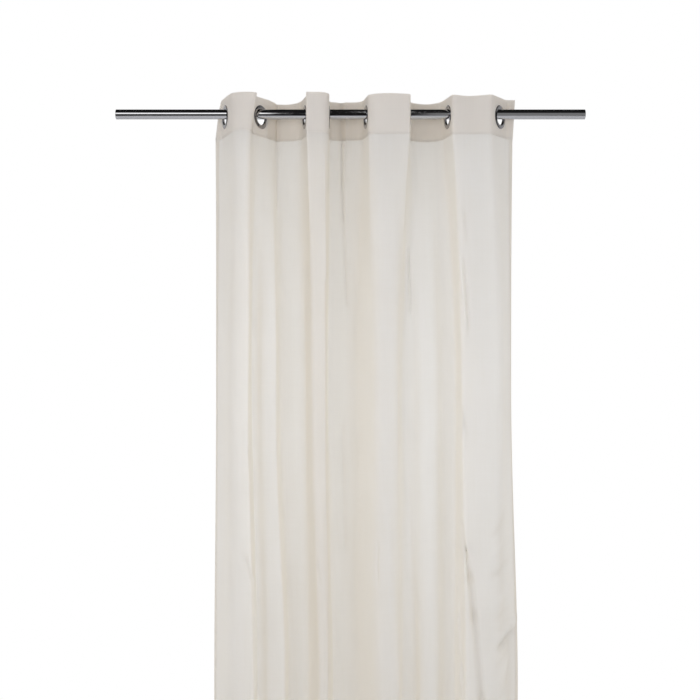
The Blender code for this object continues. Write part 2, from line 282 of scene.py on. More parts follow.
def heading_line(level):
    """The heading's path at its top edge, level 0, or at its seam, level 1."""
    left_bend, left_end = heading_end(0, LEFT_END_TURN_DEG[level], -1)
    right_bend, right_end = heading_end(len(EYELETS) - 1, RIGHT_END_TURN_DEG[level], 1)
    corners = [left_end, left_bend]
    eases = [BEND_EASE]
    for index in range(len(HEADING_FOLDS)):
        fold_corners, fold_eases = heading_bends(index, level)
        corners += fold_corners
        eases += fold_eases
    corners += [right_bend, right_end]
    eases.append(BEND_EASE)
    missing = PANEL_WIDTH - lengths_along(rounded(corners, eases))[-1]
    for end, bend in ((0, 1), (-1, -2)):
        outward = (corners[end] - corners[bend]) / np.linalg.norm(corners[end] - corners[bend])
        corners[end] = corners[end] + outward * missing / 2
    return at_threads(rounded(corners, eases))


depths = [round(abs(heading_bends(i, 0)[0][0][1]) / MM) for i in range(len(HEADING_FOLDS))]
print("depths of the heading's folds:", depths, "mm")

# %% [markdown]
# ## The free folds
#
# Below the seam nothing holds the folds but the cloth's own weight. They lean, merge and open
# as they go down. The table states each crest and trough at a middle and at a low level, and
# the levels between are blended, since a hung fold runs in nearly straight lines.

# %% The free folds, from the left
class Fold(NamedTuple):
    """A fold with a turn on its left and one on its right, at the middle and the low level.
    Depth is positive towards the back."""

    mid_left_mm: float
    mid_right_mm: float
    mid_depth_mm: float
    low_left_mm: float
    low_right_mm: float
    low_depth_mm: float
    ease_left_mm: float
    ease_right_mm: float


class Edge(NamedTuple):
    """A side edge of the cloth at the middle and the low level."""

    mid_x_mm: float
    mid_depth_mm: float
    low_x_mm: float
    low_depth_mm: float


FOLDS = (
    Fold(-298, -255, -58, -300, -243, -54, 26, 9),
    Fold(-255, -240, 8, -240, -226, 10, 8, 8),
    Fold(-223, -190, -4, -211, -168, -3, 14, 8),
    Fold(-186, -120, 45, -160, -108, 50, 12, 24),
    Fold(-96, -62, -65, -80, -56, -60, 15, 8),
    Fold(-60, 8, 62, -48, 12, 66, 14, 30),
    Fold(67, 118, -50, 71, 121, -48, 24, 20),
    Fold(132, 164, 30, 134, 168, 38, 16, 12),
    Fold(182, 220, 18, 182, 224, 4, 16, 16),
    Fold(238, 272, 42, 242, 272, 46, 16, 12),
    Fold(281, 384, -40, 290, 370, -45, 9, 22),
)
LEFT_EDGE = Edge(-350, 50, -354, 46)
RIGHT_EDGE = Edge(418, 48, 436, 52)
print("free folds:", len(FOLDS))

# %% Paths of the free folds
def free_line(spread):
    """The free cloth's path: at the middle level with a spread of 0, at the low level with 1."""

    def moved(mid, low):
        return (mid + (low - mid) * spread) * MM

    def edge_point(edge):
        return moved(edge.mid_x_mm, edge.low_x_mm), moved(edge.mid_depth_mm, edge.low_depth_mm)

    corners = [edge_point(LEFT_EDGE)]
    eases = []
    for fold in FOLDS:
        depth = moved(fold.mid_depth_mm, fold.low_depth_mm)
        corners.append((moved(fold.mid_left_mm, fold.low_left_mm), depth))
        corners.append((moved(fold.mid_right_mm, fold.low_right_mm), depth))
        eases += [fold.ease_left_mm * MM, fold.ease_right_mm * MM]
    corners.append(edge_point(RIGHT_EDGE))
    return at_threads(deepened(rounded(corners, eases)))


TOP_LINE, SEAM_LINE = heading_line(0), heading_line(1)
MID_LINE, LOW_LINE, HEM_LINE = (free_line(spread) for spread in (0, 1, 1 + HEM_SPREAD))
print("path at the middle level:", round(lengths_along(MID_LINE)[-1], 4), "m long")

# %% [markdown]
# The levels between are blends of the nearest two. A blend of two paths comes out too short, so
# it is deepened again until it has the full length of the cloth. Each height is asked for many
# times, so its path is kept once it is found.

# %% The folds at any height
def smooth(t):
    """A rise from 0 to 1 that starts and ends gently."""
    t = np.clip(t, 0, 1)
    return t * t * (3 - 2 * t)


@functools.lru_cache(maxsize=None)
def line_at(z):
    """The folds at a height. Below the seam the stiff heading lets go at once, then slower."""
    if z >= FREE_Z:
        share = np.clip((TOP_Z - z) / HEADING_HEIGHT, 0, 1)
        return TOP_LINE + (SEAM_LINE - TOP_LINE) * share
    if z >= MID_Z:
        share = math.sin(math.pi / 2 * (FREE_Z - z) / (FREE_Z - MID_Z))
        return deepened(SEAM_LINE + (MID_LINE - SEAM_LINE) * share)
    if z >= LOW_Z:
        return deepened(MID_LINE + (LOW_LINE - MID_LINE) * smooth((MID_Z - z) / (MID_Z - LOW_Z)))
    return deepened(LOW_LINE + (HEM_LINE - LOW_LINE) * smooth((LOW_Z - z) / (LOW_Z - HEM_Z)))


def droop(z):
    """How far each thread hangs below its own height: most in the middle of the heading's
    folds, and less and less down the panel."""
    down_heading = np.clip((TOP_Z - z) / HEADING_HEIGHT, 0, 1)
    fading = 1 - smooth((SEAM_Z - z) / (SEAM_Z - MID_Z))
    lowered = np.zeros_like(THREADS)
    free = EYELET_SPACING - 2 * FLAT_AT_EYELET
    for index, fold in enumerate(HEADING_FOLDS):
        start = EDGE_OF_EYELETS + index * EYELET_SPACING + FLAT_AT_EYELET
        share = np.clip((THREADS - start) / free, 0, 1)
        most = fold.top_droop_mm + (fold.seam_droop_mm - fold.top_droop_mm) * down_heading
        lowered += most * MM * fading * np.sin(math.pi * share) ** 2
    return lowered


widths = [round(float(np.ptp(line_at(z)[:, 0])), 3) for z in (SEAM_Z, HEM_Z)]
print("the cloth hangs", widths, "m wide at the seam and at the hem")

# %% [markdown]
# ## Creases
#
# Folds alone look too clean. Real cloth has creases where it was folded in its packet, where a
# seam pulls, and where a fold buckles. Each is placed on the flat cloth: from one place
# to another, in millimetres from the left edge and above or below the rod's axis, with a width
# and a height. A positive height is a ridge towards the room, a negative one a trough.

# %% Creases of the free cloth
class Crease(NamedTuple):
    from_mm: float
    from_z_mm: float
    to_mm: float
    to_z_mm: float
    width_mm: float
    height_mm: float


CREASES = (
    # The sharp pleat in the middle back fold, which runs down from the heading.
    Crease(689, -40, 692, -159, 4, -8.0),
    Crease(692, -159, 698, -258, 4, -7.0),
    Crease(698, -258, 712, -485, 4, -4.0),
    Crease(699, -40, 701, -159, 4, 3.0),
    Crease(701, -812, 698, -917, 7, -2.6),
    Crease(698, -917, 690, -1113, 6, -2.4),
    # The fold beside the first valley, pressed flat under the heading.
    Crease(313, -50, 314, -230, 4, -4.0),
    # A short wrinkle beside the third crest.
    Crease(992, -350, 995, -494, 4, 4.5),
    Crease(999, -360, 1001, -500, 4, -2.5),
    # The fourth crest's left side, where the cloth buckles as it turns.
    Crease(1221, -262, 1223, -322, 5, -3.0),
    Crease(1206, -370, 1216, -545, 4, 4.5),
    Crease(1216, -380, 1224, -540, 4, -2.5),
    Crease(1203, -768, 1216, -806, 5, -4.5),
    Crease(1196, -1085, 1207, -1118, 5, -4.5),
    # The long crease that leans right down the fourth crest, and its fainter twin.
    Crease(1194, -1047, 1209, -1120, 6, -5.5),
    Crease(1209, -1120, 1222, -1180, 7, -6.5),
    Crease(1222, -1180, 1230, -1276, 8, -6.5),
    Crease(1230, -1276, 1248, -1486, 8, -6.5),
    Crease(1248, -1486, 1262, -1740, 9, -5.0),
    Crease(1146, -1135, 1160, -1300, 6, 4.0),
    Crease(1160, -1300, 1176, -1440, 6, 5.0),
    Crease(1170, -1390, 1190, -1440, 5, -5.0),
    Crease(1176, -1440, 1192, -1560, 7, 4.0),
    # Slanting wrinkles on the right flank, over a broad hollow.
    Crease(1288, -1066, 1322, -1030, 7, -3.0),
    Crease(1286, -1112, 1336, -1072, 7, 2.6),
    Crease(1286, -1172, 1332, -1150, 8, -4.0),
    Crease(1292, -1240, 1362, -1206, 8, 3.4),
    Crease(1296, -1280, 1340, -1266, 7, -2.6),
    Crease(1298, -1334, 1374, -1306, 9, 7.5),
    Crease(1306, -1354, 1370, -1334, 7, -8.0),
    Crease(1300, -1398, 1350, -1366, 8, -2.8),
    Crease(1296, -1446, 1342, -1400, 8, 2.6),
    Crease(1304, -1490, 1336, -1450, 8, -2.4),
    Crease(1312, -1060, 1318, -1340, 18, -4.0),
    Crease(1352, -1340, 1362, -1640, 26, -7.0),
    # The first crest's right edge, which wavers and then splits.
    Crease(150, -800, 160, -842, 5, 3.4),
    Crease(160, -842, 172, -884, 5, -3.0),
    Crease(150, -1128, 163, -1172, 5, -3.5),
    Crease(176, -1180, 184, -1290, 4, 4.0),
    Crease(184, -1290, 178, -1450, 4, 3.5),
    # Short marks beside the second and the third crest.
    Crease(506, -1138, 511, -1184, 4, -2.0),
    Crease(829, -1092, 824, -1190, 4, -2.0),
    Crease(541, -120, 543, -420, 3, 2.4),
    # Faint ones, below what the picture shows.
    Crease(388, -1620, 402, -1860, 8, -3.4),
    Crease(905, -1700, 893, -2010, 8, 3.4),
    Crease(1068, -1880, 1086, -2120, 7, -3.4),
    Crease(250, -1930, 238, -2230, 8, 3.2),
    Crease(640, -2050, 655, -2290, 8, -3.4),
)
print("creases in the free cloth:", len(CREASES))

# %% Creases of the heading
HEADING_CREASES = (
    # The pleat again, up through the heading.
    Crease(688, 60, 688, -70, 9, -8.0),
    Crease(701, 60, 701, -70, 3.5, 2.6),
    # The first back fold is pressed flat along a line, with a shallow hollow beside it.
    Crease(269, 0, 269, -70, 8, 2.2),
    Crease(303, 60, 302, -70, 6, 2.2),
    Crease(314, 60, 313, -70, 5, -5.0),
    Crease(354, 20, 354, -60, 12, 1.8),
    # Slight dents between eyelets, where the stiff strip bends unevenly.
    Crease(890, 60, 896, -70, 22, 1.2),
    Crease(1072, 60, 1068, -70, 18, -2.0),
    Crease(1238, 60, 1244, -70, 24, -1.8),
)
print("creases in the heading:", len(HEADING_CREASES))

# %% [markdown]
# Across, a crease has the section of a bell, and at its ends it fades over twice its width. Each
# point of the mesh also keeps how deep it lies in a trough, and the cloth's material paints shade
# there: the deeper the trough, the darker its colours.

# %% What the creases do to the cloth
CREASE_FADE = 2  # a crease fades at its ends over this many of its widths
FULL_CREASE = 8 * MM  # as deep as this, a trough gets its full painted shade


def raised(u, z, creases):
    """How far the creases raise the cloth at places u across and z up, given as arrays."""
    total = np.zeros(np.broadcast(u, z).shape)
    for crease in creases:
        start = np.array([crease.from_mm, crease.from_z_mm]) * MM
        run = np.array([crease.to_mm, crease.to_z_mm]) * MM - start
        length = np.linalg.norm(run)
        along = ((u - start[0]) * run[0] + (z - start[1]) * run[1]) / length
        aside = ((u - start[0]) * run[1] - (z - start[1]) * run[0]) / length
        width = crease.width_mm * MM
        past = np.maximum(np.maximum(-along, along - length), 0)
        fade = (past / (CREASE_FADE * width)) ** 2
        total += crease.height_mm * MM * np.exp(-((aside / width) ** 2) - fade)
    return total


def crease_shading(u, z, creases):
    """How deep the cloth lies in a trough, from 0 to 1, which sets the painted shade there."""
    return np.clip(-raised(u, z, creases) / FULL_CREASE, 0, 1)


deepest = min(crease.height_mm for crease in CREASES + HEADING_CREASES)
print("the deepest trough:", deepest, "mm")

# %% [markdown]
# Between its creases the cloth is never quite even either. Slow waves of many lengths and slants
# are summed up for that. Their numbers are drawn from a seeded generator, so each run has the
# same curtain.

# %% Unevenness of the whole cloth
WAVER = 1.3 * MM  # the usual size of the sum of all waves
WAVES = 10
WAVER_SEED = 11


def wavering(u, z):
    """A slow unevenness over the whole cloth, the sum of slanted waves."""
    dice = np.random.default_rng(WAVER_SEED)
    total = np.zeros(np.broadcast(u, z).shape)
    for _ in range(WAVES):
        across, down = dice.uniform(90, 280) * MM, dice.uniform(450, 1500) * MM
        slant, phase = dice.choice((-1, 1)), dice.uniform(0, 2 * math.pi)
        total += np.sin(2 * math.pi * (u / across + slant * z / down) + phase)
    return total * WAVER / math.sqrt(WAVES)


most = np.abs(wavering(THREADS, MID_Z)).max()
print("most waver at the middle level:", round(float(most) / MM, 1), "mm")

# %% [markdown]
# ## Steps across the cloth
#
# The meshes need many columns where the cloth turns or is creased, and few where it is flat.
# The turning of the paths and the nearness of creases are summed up across the cloth, and the
# columns are placed at equal shares of that sum.

# %% Columns
FLAT_STEP = 20 * MM  # between columns where the cloth is flat
TURN_STEP = math.radians(17)  # the turning that takes one more column
CREASE_SHARE = 0.95  # a crease gets columns this share of its width apart
CREASE_MARGIN = 1.5  # and so on for this many widths to either side of it


def spaced(places, lines, creases, finer=1.0):
    """Columns between these fixed places, closer where the lines turn or a crease runs."""
    effort = np.diff(THREADS) / FLAT_STEP
    for line in lines:
        step = np.diff(line, axis=0)
        direction = np.unwrap(np.arctan2(step[:, 1], step[:, 0]))
        effort[1:] += np.abs(np.diff(direction)) / TURN_STEP / len(lines)
    near = np.zeros_like(effort)
    for crease in creases:
        low, high = sorted((crease.from_mm, crease.to_mm))
        margin = CREASE_MARGIN * crease.width_mm
        inside = (THREADS[1:] > (low - margin) * MM) & (THREADS[1:] < (high + margin) * MM)
        near[inside] = np.maximum(near[inside], 1 / (CREASE_SHARE * crease.width_mm * MM))
    effort += near * np.diff(THREADS)
    total = np.concatenate([[0], np.cumsum(effort * finer)])
    found = [places[:1]]
    for first, last in zip(places, places[1:]):
        steps = np.interp((first, last), THREADS, total)
        count = max(1, round(steps[1] - steps[0]))
        found.append(np.interp(np.linspace(*steps, count + 1)[1:], total, THREADS))
    return np.concatenate(found)


print("a flat stretch gets a column each", round(FLAT_STEP / MM), "mm")

# %% [markdown]
# ## Turned hems
#
# A hem is the same cloth, turned over to the back and stitched. A drawn line would be quicker,
# but two layers of sheer cloth look denser than one only if both are there. So the mesh goes on
# past the edge: round a tight half turn, then back on itself. A layer here is a share of the
# mesh's columns or rows: its place on the hung cloth, how far it stands behind the front layer,
# and its place on the flat cloth, for the weave.

# %% Layers of a turned edge
SIDE_HEM = 12 * MM  # from the edge to the stitching
SIDE_FLAP = 13.5 * MM  # from the edge to where the turned-over cloth ends
SIDE_ROUND = 0.45 * MM  # radius of the half turn
BOTTOM_HEM = 80 * MM
BOTTOM_FLAP = 81.5 * MM
BOTTOM_ROUND = 1.3 * MM
HALF_TURN = np.radians((0, 36, 72, 108, 144, 180))


class Layer(NamedTuple):
    """For each column or row: its place, its distance behind, its place on the flat cloth, and
    1 on the front layer to -1 on one that is turned over."""

    place: np.ndarray
    behind: np.ndarray
    flat: np.ndarray
    facing: np.ndarray


def turned_edge(flap_places, radius):
    """The half turn at an edge at 0 and the flap beyond it. The front layer starts past it."""
    arc_place = radius - radius * np.sin(HALF_TURN)
    arc_behind = radius - radius * np.cos(HALF_TURN)
    flap = np.asarray(flap_places)
    return Layer(
        np.concatenate([arc_place, flap]),
        np.concatenate([arc_behind, np.full(len(flap), 2 * radius)]),
        np.concatenate([radius - radius * HALF_TURN, -flap]),
        np.concatenate([np.cos(HALF_TURN), -np.ones(len(flap))]),
    )


def front_only(places):
    return Layer(places, np.zeros(len(places)), places, np.ones(len(places)))


def joined(*layers):
    return Layer(*(np.concatenate(parts) for parts in zip(*layers)))


def flipped(layer):
    """The same columns or rows, in the opposite order."""
    return Layer(*(part[::-1] for part in layer))


def from_far_edge(layer, size):
    """A turned edge at 0 moved to the far edge, at this size."""
    return Layer(size - layer.place, layer.behind, size - layer.flat, layer.facing)


print("points round a half turn:", len(HALF_TURN))

# %% The panel's columns
SIDE_COLUMNS = np.array([1.5, 4, 7, 10, 12]) * MM  # across a side hem, up to its stitching
PAST_FLAP = 14 * MM  # the first column of the single cloth

side_turn = turned_edge(np.append(SIDE_COLUMNS, SIDE_FLAP), SIDE_ROUND)
hem_lines = np.append(SIDE_COLUMNS, PAST_FLAP)
fixed_columns = np.concatenate([hem_lines, PANEL_WIDTH - hem_lines[::-1]])
front_columns = spaced(fixed_columns, (SEAM_LINE, MID_LINE, LOW_LINE), CREASES)
panel_columns = joined(
    flipped(side_turn), front_only(front_columns), from_far_edge(side_turn, PANEL_WIDTH)
)
print("columns of the panel:", len(panel_columns.place))

# %% [markdown]
# ## Hanging a flat grid
#
# The cloth starts as a flat grid, added with its two numbers of divisions. Each point is then
# moved to where its place on the flat cloth hangs: on the path at its height, off it by its
# layer, its crease and the cloth's unevenness, along the direction that the cloth faces. Its
# place on the flat cloth, in metres, is kept as the UV map, so that weave and threads follow
# the folds and have their real size.

# %% A grid that hangs
CLOTH_THICKNESS = 0.45 * MM


def deselect_all():
    if bpy.context.object and bpy.context.object.mode != "OBJECT":
        bpy.ops.object.mode_set(mode="OBJECT")
    bpy.ops.object.select_all(action="DESELECT")


def facing_along(line):
    """The direction in which the cloth faces the room, along a path."""
    along = np.gradient(line, axis=0)
    along /= np.linalg.norm(along, axis=1)[:, None]
    return np.stack([along[:, 1], -along[:, 0]], axis=1)


def hung_grid(name, columns, rows, offset, creases):
    """A grid with these layers of columns and rows. offset(u, z, behind) gives how far towards
    the room each point of a row stands off its path."""
    deselect_all()
    bpy.ops.mesh.primitive_grid_add(
        x_subdivisions=len(columns.place) - 1, y_subdivisions=len(rows.place) - 1, size=1
    )
    cloth = bpy.context.object
    cloth.name = name
    points, pressed = [], []
    for z, back, turned in zip(rows.place, rows.behind, rows.facing):
        line = line_at(z)
        out = facing_along(line)
        # How deep each point lies in a crease's trough, kept for the painted shade of the creases.
        pressed.append(crease_shading(columns.place, z, creases))
        behind = back + columns.behind * turned
        off = offset(columns.place, z, behind)
        x, y = (
            np.interp(columns.place, THREADS, line[:, axis])
            + off * np.interp(columns.place, THREADS, out[:, axis])
            for axis in (0, 1)
        )
        height = z - np.interp(columns.place, THREADS, droop(z))
        points.append(np.stack([x, y, height], axis=1))
    cloth.data.vertices.foreach_set("co", np.concatenate(points).ravel())
    flat = np.stack(np.meshgrid(columns.flat, rows.flat), axis=2).reshape(-1, 2)
    corners = np.zeros(len(cloth.data.loops), int)
    cloth.data.loops.foreach_get("vertex_index", corners)
    uv = cloth.data.uv_layers[0]
    uv.name = "cloth"
    uv.data.foreach_set("uv", flat[corners].ravel())
    # The attribute from which the cloth's material paints shade into the creases.
    attribute = cloth.data.attributes.new("crease_shading", "FLOAT", "POINT")
    attribute.data.foreach_set("value", np.concatenate(pressed))
    cloth.data.update()
    return cloth


def apply_all(piece):
    """Applies a piece's modifiers, as by hand."""
    deselect_all()
    piece.select_set(True)
    bpy.context.view_layer.objects.active = piece
    for modifier in list(piece.modifiers):
        bpy.ops.object.modifier_apply(modifier=modifier.name)


def thicken(piece, thickness):
    modifier = piece.modifiers.new("thickness", "SOLIDIFY")
    modifier.thickness = thickness
    modifier.offset = 0
    modifier.use_even_offset = True
    apply_all(piece)
    piece.data.shade_smooth()


def triangles(piece):
    return sum(len(face.vertices) - 2 for face in piece.data.polygons)


# %% [markdown]
# ## The panel
#
# The free cloth reaches from inside the heading's seam down to the hem. Its rows are close
# where the seam lets the folds go and where there are slanting wrinkles, and wide elsewhere.
# At the stitching of the hems the thread pulls the cloth in a little.

# %% The panel's rows
PANEL_TUCK = 4 * MM  # the panel's top edge ends inside the heading
HEM_ROWS = np.array([83, 81, 80, 79, 77, 66, 50, 34, 18, 6]) * MM  # above the bottom edge
FLAP_ROWS = np.append(np.array([5, 18, 34, 50, 66, 77, 79, 80]) * MM, BOTTOM_FLAP)
ABOVE_HEM = 12 * MM  # the even rows end about this far above the hem
LEAST_STEP = 3 * MM


class Rows(NamedTuple):
    """How far apart the panel's rows are, down to a height."""

    down_to: float
    apart: float


ROWS = (
    Rows(SEAM_Z - 60 * MM, 7 * MM),  # where the folds leave the heading
    Rows(-560 * MM, 15 * MM),
    Rows(-1010 * MM, 24 * MM),
    Rows(-1490 * MM, 9.5 * MM),  # where the slanting wrinkles are
    Rows(-1760 * MM, 24 * MM),
    Rows(HEM_Z, 42 * MM),
)


def row_below(z):
    """The height of the next row down."""
    return z - next(rows.apart for rows in ROWS if z > rows.down_to)


def panel_rows():
    """Front rows from the tuck down, the half turn at the hem, and the flap back up."""
    heights = [SEAM_Z + PANEL_TUCK, SEAM_Z + 1.5 * MM, SEAM_Z, SEAM_Z - 2 * MM]
    while heights[-1] > HEM_Z + BOTTOM_HEM + ABOVE_HEM:
        heights.append(row_below(heights[-1]))
    above = [z for z in heights if z > HEM_Z + HEM_ROWS[0] + LEAST_STEP]
    flap = turned_edge(FLAP_ROWS, BOTTOM_ROUND)
    turned = Layer(HEM_Z + flap.place, flap.behind, HEM_Z + flap.flat, flap.facing)
    return joined(front_only(np.concatenate([above, HEM_Z + HEM_ROWS])), turned)


print("rows of the panel:", len(panel_rows().place))

# %% The panel's place
WAVER_WHOLE = 90 * MM  # this far below the seam the waver has its whole size
CREASES_WHOLE = 12 * MM  # and this far below it the creases have theirs
LET_GO = 70 * MM  # how far below the seam the heading's dents go on
CALM_EDGE = 40 * MM  # the sewn side edges waver less, over this width
HEM_STITCHING = HEM_Z + BOTTOM_HEM - 1 * MM
STITCH_PULL = 0.16 * MM
PULL_WIDTH = 2.2 * MM


def pulled(distance):
    """How far a line of stitching at this distance pulls the cloth in."""
    return STITCH_PULL * np.exp(-((distance / PULL_WIDTH) ** 2))


def panel_offset(u, z, behind):
    """Where the panel stands off its path: its layers, waver, creases and stitching."""
    below_seam = SEAM_Z - z
    from_edge = np.minimum(u, PANEL_WIDTH - u)
    off = wavering(u, z) * smooth(below_seam / WAVER_WHOLE) * smooth(from_edge / CALM_EDGE)
    off = off + raised(u, z, CREASES) * smooth(below_seam / CREASES_WHOLE)
    off = off + raised(u, max(z, SEAM_Z), HEADING_CREASES) * (1 - smooth(below_seam / LET_GO))
    return off - behind - pulled(from_edge - SIDE_HEM) - pulled(z - HEM_STITCHING)


panel = hung_grid("panel_cloth", panel_columns, panel_rows(), panel_offset, CREASES)
thicken(panel, CLOTH_THICKNESS)
print("panel:", triangles(panel), "triangles")

# %% [markdown]
# ## The heading
#
# At the top the cloth is turned over to the back and sewn down, with a stiff strip inside. Like
# the hems it is one sheet: up the front, round the top edge, and down the back. Both layers are
# pressed together at the seam, where the panel's top edge ends between them.

# %% The heading's rows and its place
HEADING_ROUND = 0.95 * MM
SEAM_ROUND = 0.55 * MM
SEAM_PRESS = 9 * MM  # how far above the seam the layers come together
SEAM_STITCHING = SEAM_Z + 4 * MM
HEADING_FINER = 1.3  # the heading's columns are this much closer than the panel's
RISE_MM = (0, 1, 2.5, 4, 5.5, 7.5, 10, 14, 20, 27, 35, 43, 51, 59, 67, 75, 83, 91, 97)


def heading_rows():
    """From the seam up the front, round the top edge, and down the back."""
    rise = np.array(RISE_MM) * MM
    turn = turned_edge(HEADING_HEIGHT - rise[::-1], HEADING_ROUND)
    top = Layer(TOP_Z - turn.place, turn.behind, TOP_Z - turn.flat, turn.facing)
    return joined(front_only(SEAM_Z + rise), top)


def heading_offset(u, z, behind):
    """The front layer stands off by the turn's radius, and less where the seam presses."""
    pressed = SEAM_ROUND + (HEADING_ROUND - SEAM_ROUND) * smooth((z - SEAM_Z) / SEAM_PRESS)
    layer = pressed * (HEADING_ROUND - behind) / HEADING_ROUND
    return layer + raised(u, z, HEADING_CREASES) - pulled(z - SEAM_STITCHING) * np.sign(layer)


eyelet_places = EDGE_OF_EYELETS + np.arange(len(EYELETS)) * EYELET_SPACING
heading_fixed = np.concatenate(
    [fixed_columns, eyelet_places - FLAT_AT_EYELET, eyelet_places + FLAT_AT_EYELET]
)
heading_front = spaced(
    np.sort(heading_fixed), (TOP_LINE, SEAM_LINE), HEADING_CREASES, finer=HEADING_FINER
)
heading_columns = front_only(np.concatenate([[0], heading_front, [PANEL_WIDTH]]))
heading = hung_grid(
    "heading_cloth", heading_columns, heading_rows(), heading_offset, HEADING_CREASES
)
print("columns of the heading:", len(heading_columns.place))

# %% [markdown]
# In two places the top edge hangs lower by itself: in the middle of the last front fold, and at
# the first corner, which nothing holds. The points above the eyelets are let down there.

# %% Sags of the top edge
TOP_DIP = 1.6 * MM
TOP_DIP_AT = 1226 * MM
TOP_DIP_WIDTH = 26 * MM
CORNER_SAG = 9 * MM
CORNER_WIDTH = 20 * MM
SAG_RISE = 15 * MM  # a sag grows over this height above the eyelets

heading_points = np.zeros(len(heading.data.vertices) * 3)
heading.data.vertices.foreach_get("co", heading_points)
heading_points = heading_points.reshape(-1, 3)
places = np.tile(heading_columns.place, len(heading_points) // len(heading_columns.place))
above = smooth((heading_points[:, 2] - EYELET_Z - EYELET_RADIUS) / SAG_RISE)
sag = TOP_DIP * above * np.exp(-(((places - TOP_DIP_AT) / TOP_DIP_WIDTH) ** 2))
sag += CORNER_SAG * above * smooth(1 - places / CORNER_WIDTH)
heading_points[:, 2] -= sag
heading.data.vertices.foreach_set("co", heading_points.ravel())
thicken(heading, CLOTH_THICKNESS)
print("most sag:", round(float(sag.max()) / MM, 1), "mm")

# %% [markdown]
# The maker cuts a hole for each eyelet's barrel. So a cylinder is stood on the axis of each
# eyelet and taken out of both layers by a Boolean modifier.

# %% Holes in the heading
HOLE_RADIUS = 22.9 * MM
HOLE_SIDES = 48
CUTTER_DEPTH = 12 * MM


def stand_at_eyelet(index):
    """The matrix that puts a piece made on +Z onto an eyelet's axis, out of the front face."""
    middle, ahead = crossing(index)
    facing = Vector((ahead[1], -ahead[0], 0))
    turn = facing.to_track_quat("Z", "Y").to_matrix().to_4x4()
    return Matrix.Translation((middle[0], middle[1], EYELET_Z)) @ turn


for index in range(len(EYELETS)):
    deselect_all()
    bpy.ops.mesh.primitive_cylinder_add(
        vertices=HOLE_SIDES, radius=HOLE_RADIUS, depth=CUTTER_DEPTH
    )
    cutter = bpy.context.object
    cutter.data.transform(stand_at_eyelet(index))
    hole = heading.modifiers.new("hole", "BOOLEAN")
    hole.operation = "DIFFERENCE"
    hole.object = cutter
    apply_all(heading)
    bpy.data.objects.remove(cutter)
heading.data.shade_smooth()
print("heading:", triangles(heading), "triangles")

# %% [markdown]
# ## The eyelets
#
# A pressed eyelet has two halves. The front one is a domed flange with a barrel that goes
# through the cloth, and the back one a washer round the barrel's end. Both are turned shapes:
# a small face in the plane of the axis is extruded into the half's section, its corners are
# bevelled, and it is spun once round.

# %% Tools for a turned half
EYELET_STEPS = 72
ROUND_SEGMENTS = 4
SAME_PLACE = 0.01 * MM


def corner_at(mesh, x, z):
    """The section's corner nearest to this radius and height."""
    return min(mesh.vertices, key=lambda v: (v.co.x - x) ** 2 + (v.co.z - z) ** 2)


def start_section(name, inner, outer, low, high):
    """A face in the XZ plane, from the inner to the outer radius and the low to the high."""
    deselect_all()
    bpy.ops.mesh.primitive_plane_add(size=1)
    section = bpy.context.object
    section.name = name
    section.data.transform(Matrix.Rotation(math.radians(90), 4, "X"))
    section.data.transform(Matrix.Diagonal((outer - inner, 1, high - low, 1)))
    section.data.transform(Matrix.Translation(((inner + outer) / 2, 0, (low + high) / 2)))
    return section


def extrude_edge(section, ends, move):
    """Extrudes the edge between two corners of the section."""
    deselect_all()
    bpy.context.view_layer.objects.active = section
    section.select_set(True)
    bpy.ops.object.mode_set(mode="EDIT")
    bpy.ops.mesh.select_all(action="DESELECT")
    bpy.ops.object.mode_set(mode="OBJECT")
    chosen = {corner_at(section.data, *end).index for end in ends}
    for edge in section.data.edges:
        edge.select = set(edge.vertices) == chosen
    for vertex in section.data.vertices:
        vertex.select = vertex.index in chosen
    bpy.ops.object.mode_set(mode="EDIT")
    bpy.ops.mesh.select_mode(type="EDGE")
    bpy.ops.mesh.extrude_region_move(TRANSFORM_OT_translate={"value": move})
    bpy.ops.object.mode_set(mode="OBJECT")


def spin_section(section, round_width):
    """Rounds the section's corners and turns its outline once round the Z axis."""
    deselect_all()
    bpy.context.view_layer.objects.active = section
    section.select_set(True)
    bpy.ops.object.mode_set(mode="EDIT")
    bpy.ops.mesh.select_mode(type="VERT")
    bpy.ops.mesh.select_all(action="SELECT")
    bpy.ops.mesh.dissolve_limited(angle_limit=math.radians(1))
    bpy.ops.mesh.select_all(action="SELECT")
    bpy.ops.mesh.bevel(
        offset=round_width, segments=ROUND_SEGMENTS, affect="VERTICES", clamp_overlap=True
    )
    bpy.ops.mesh.select_all(action="SELECT")
    bpy.ops.mesh.delete(type="ONLY_FACE")
    bpy.ops.mesh.select_all(action="SELECT")
    bpy.ops.mesh.spin(
        steps=EYELET_STEPS, angle=math.radians(360), center=(0, 0, 0), axis=(0, 0, 1)
    )
    bpy.ops.mesh.select_all(action="SELECT")
    bpy.ops.mesh.remove_doubles(threshold=SAME_PLACE)
    bpy.ops.mesh.normals_make_consistent(inside=False)
    bpy.ops.object.mode_set(mode="OBJECT")
    section.data.shade_smooth()


def move_corner(section, x, z, move):
    corner_at(section.data, x, z).co += Vector(move)


print("an eyelet is spun in", EYELET_STEPS, "steps")

# %% The two halves
SEAT = 1.25 * MM  # the flange's flat back, from the middle of the heading
CROWN = 2.7 * MM  # the dome's top
RIM = 1.8 * MM  # the height of the flange's rim
BARREL_RADIUS = 22.5 * MM
DOME_EDGE = EYELET_RADIUS - 1.5 * MM  # from here the dome falls to the rim
DOME_FALL = 0.35  # the share of that fall that the dome has made at its edge
LIP = 0.6 * MM
WASHER_GAP = 0.3 * MM  # round the barrel
WASHER_ROUND = 0.45 * MM

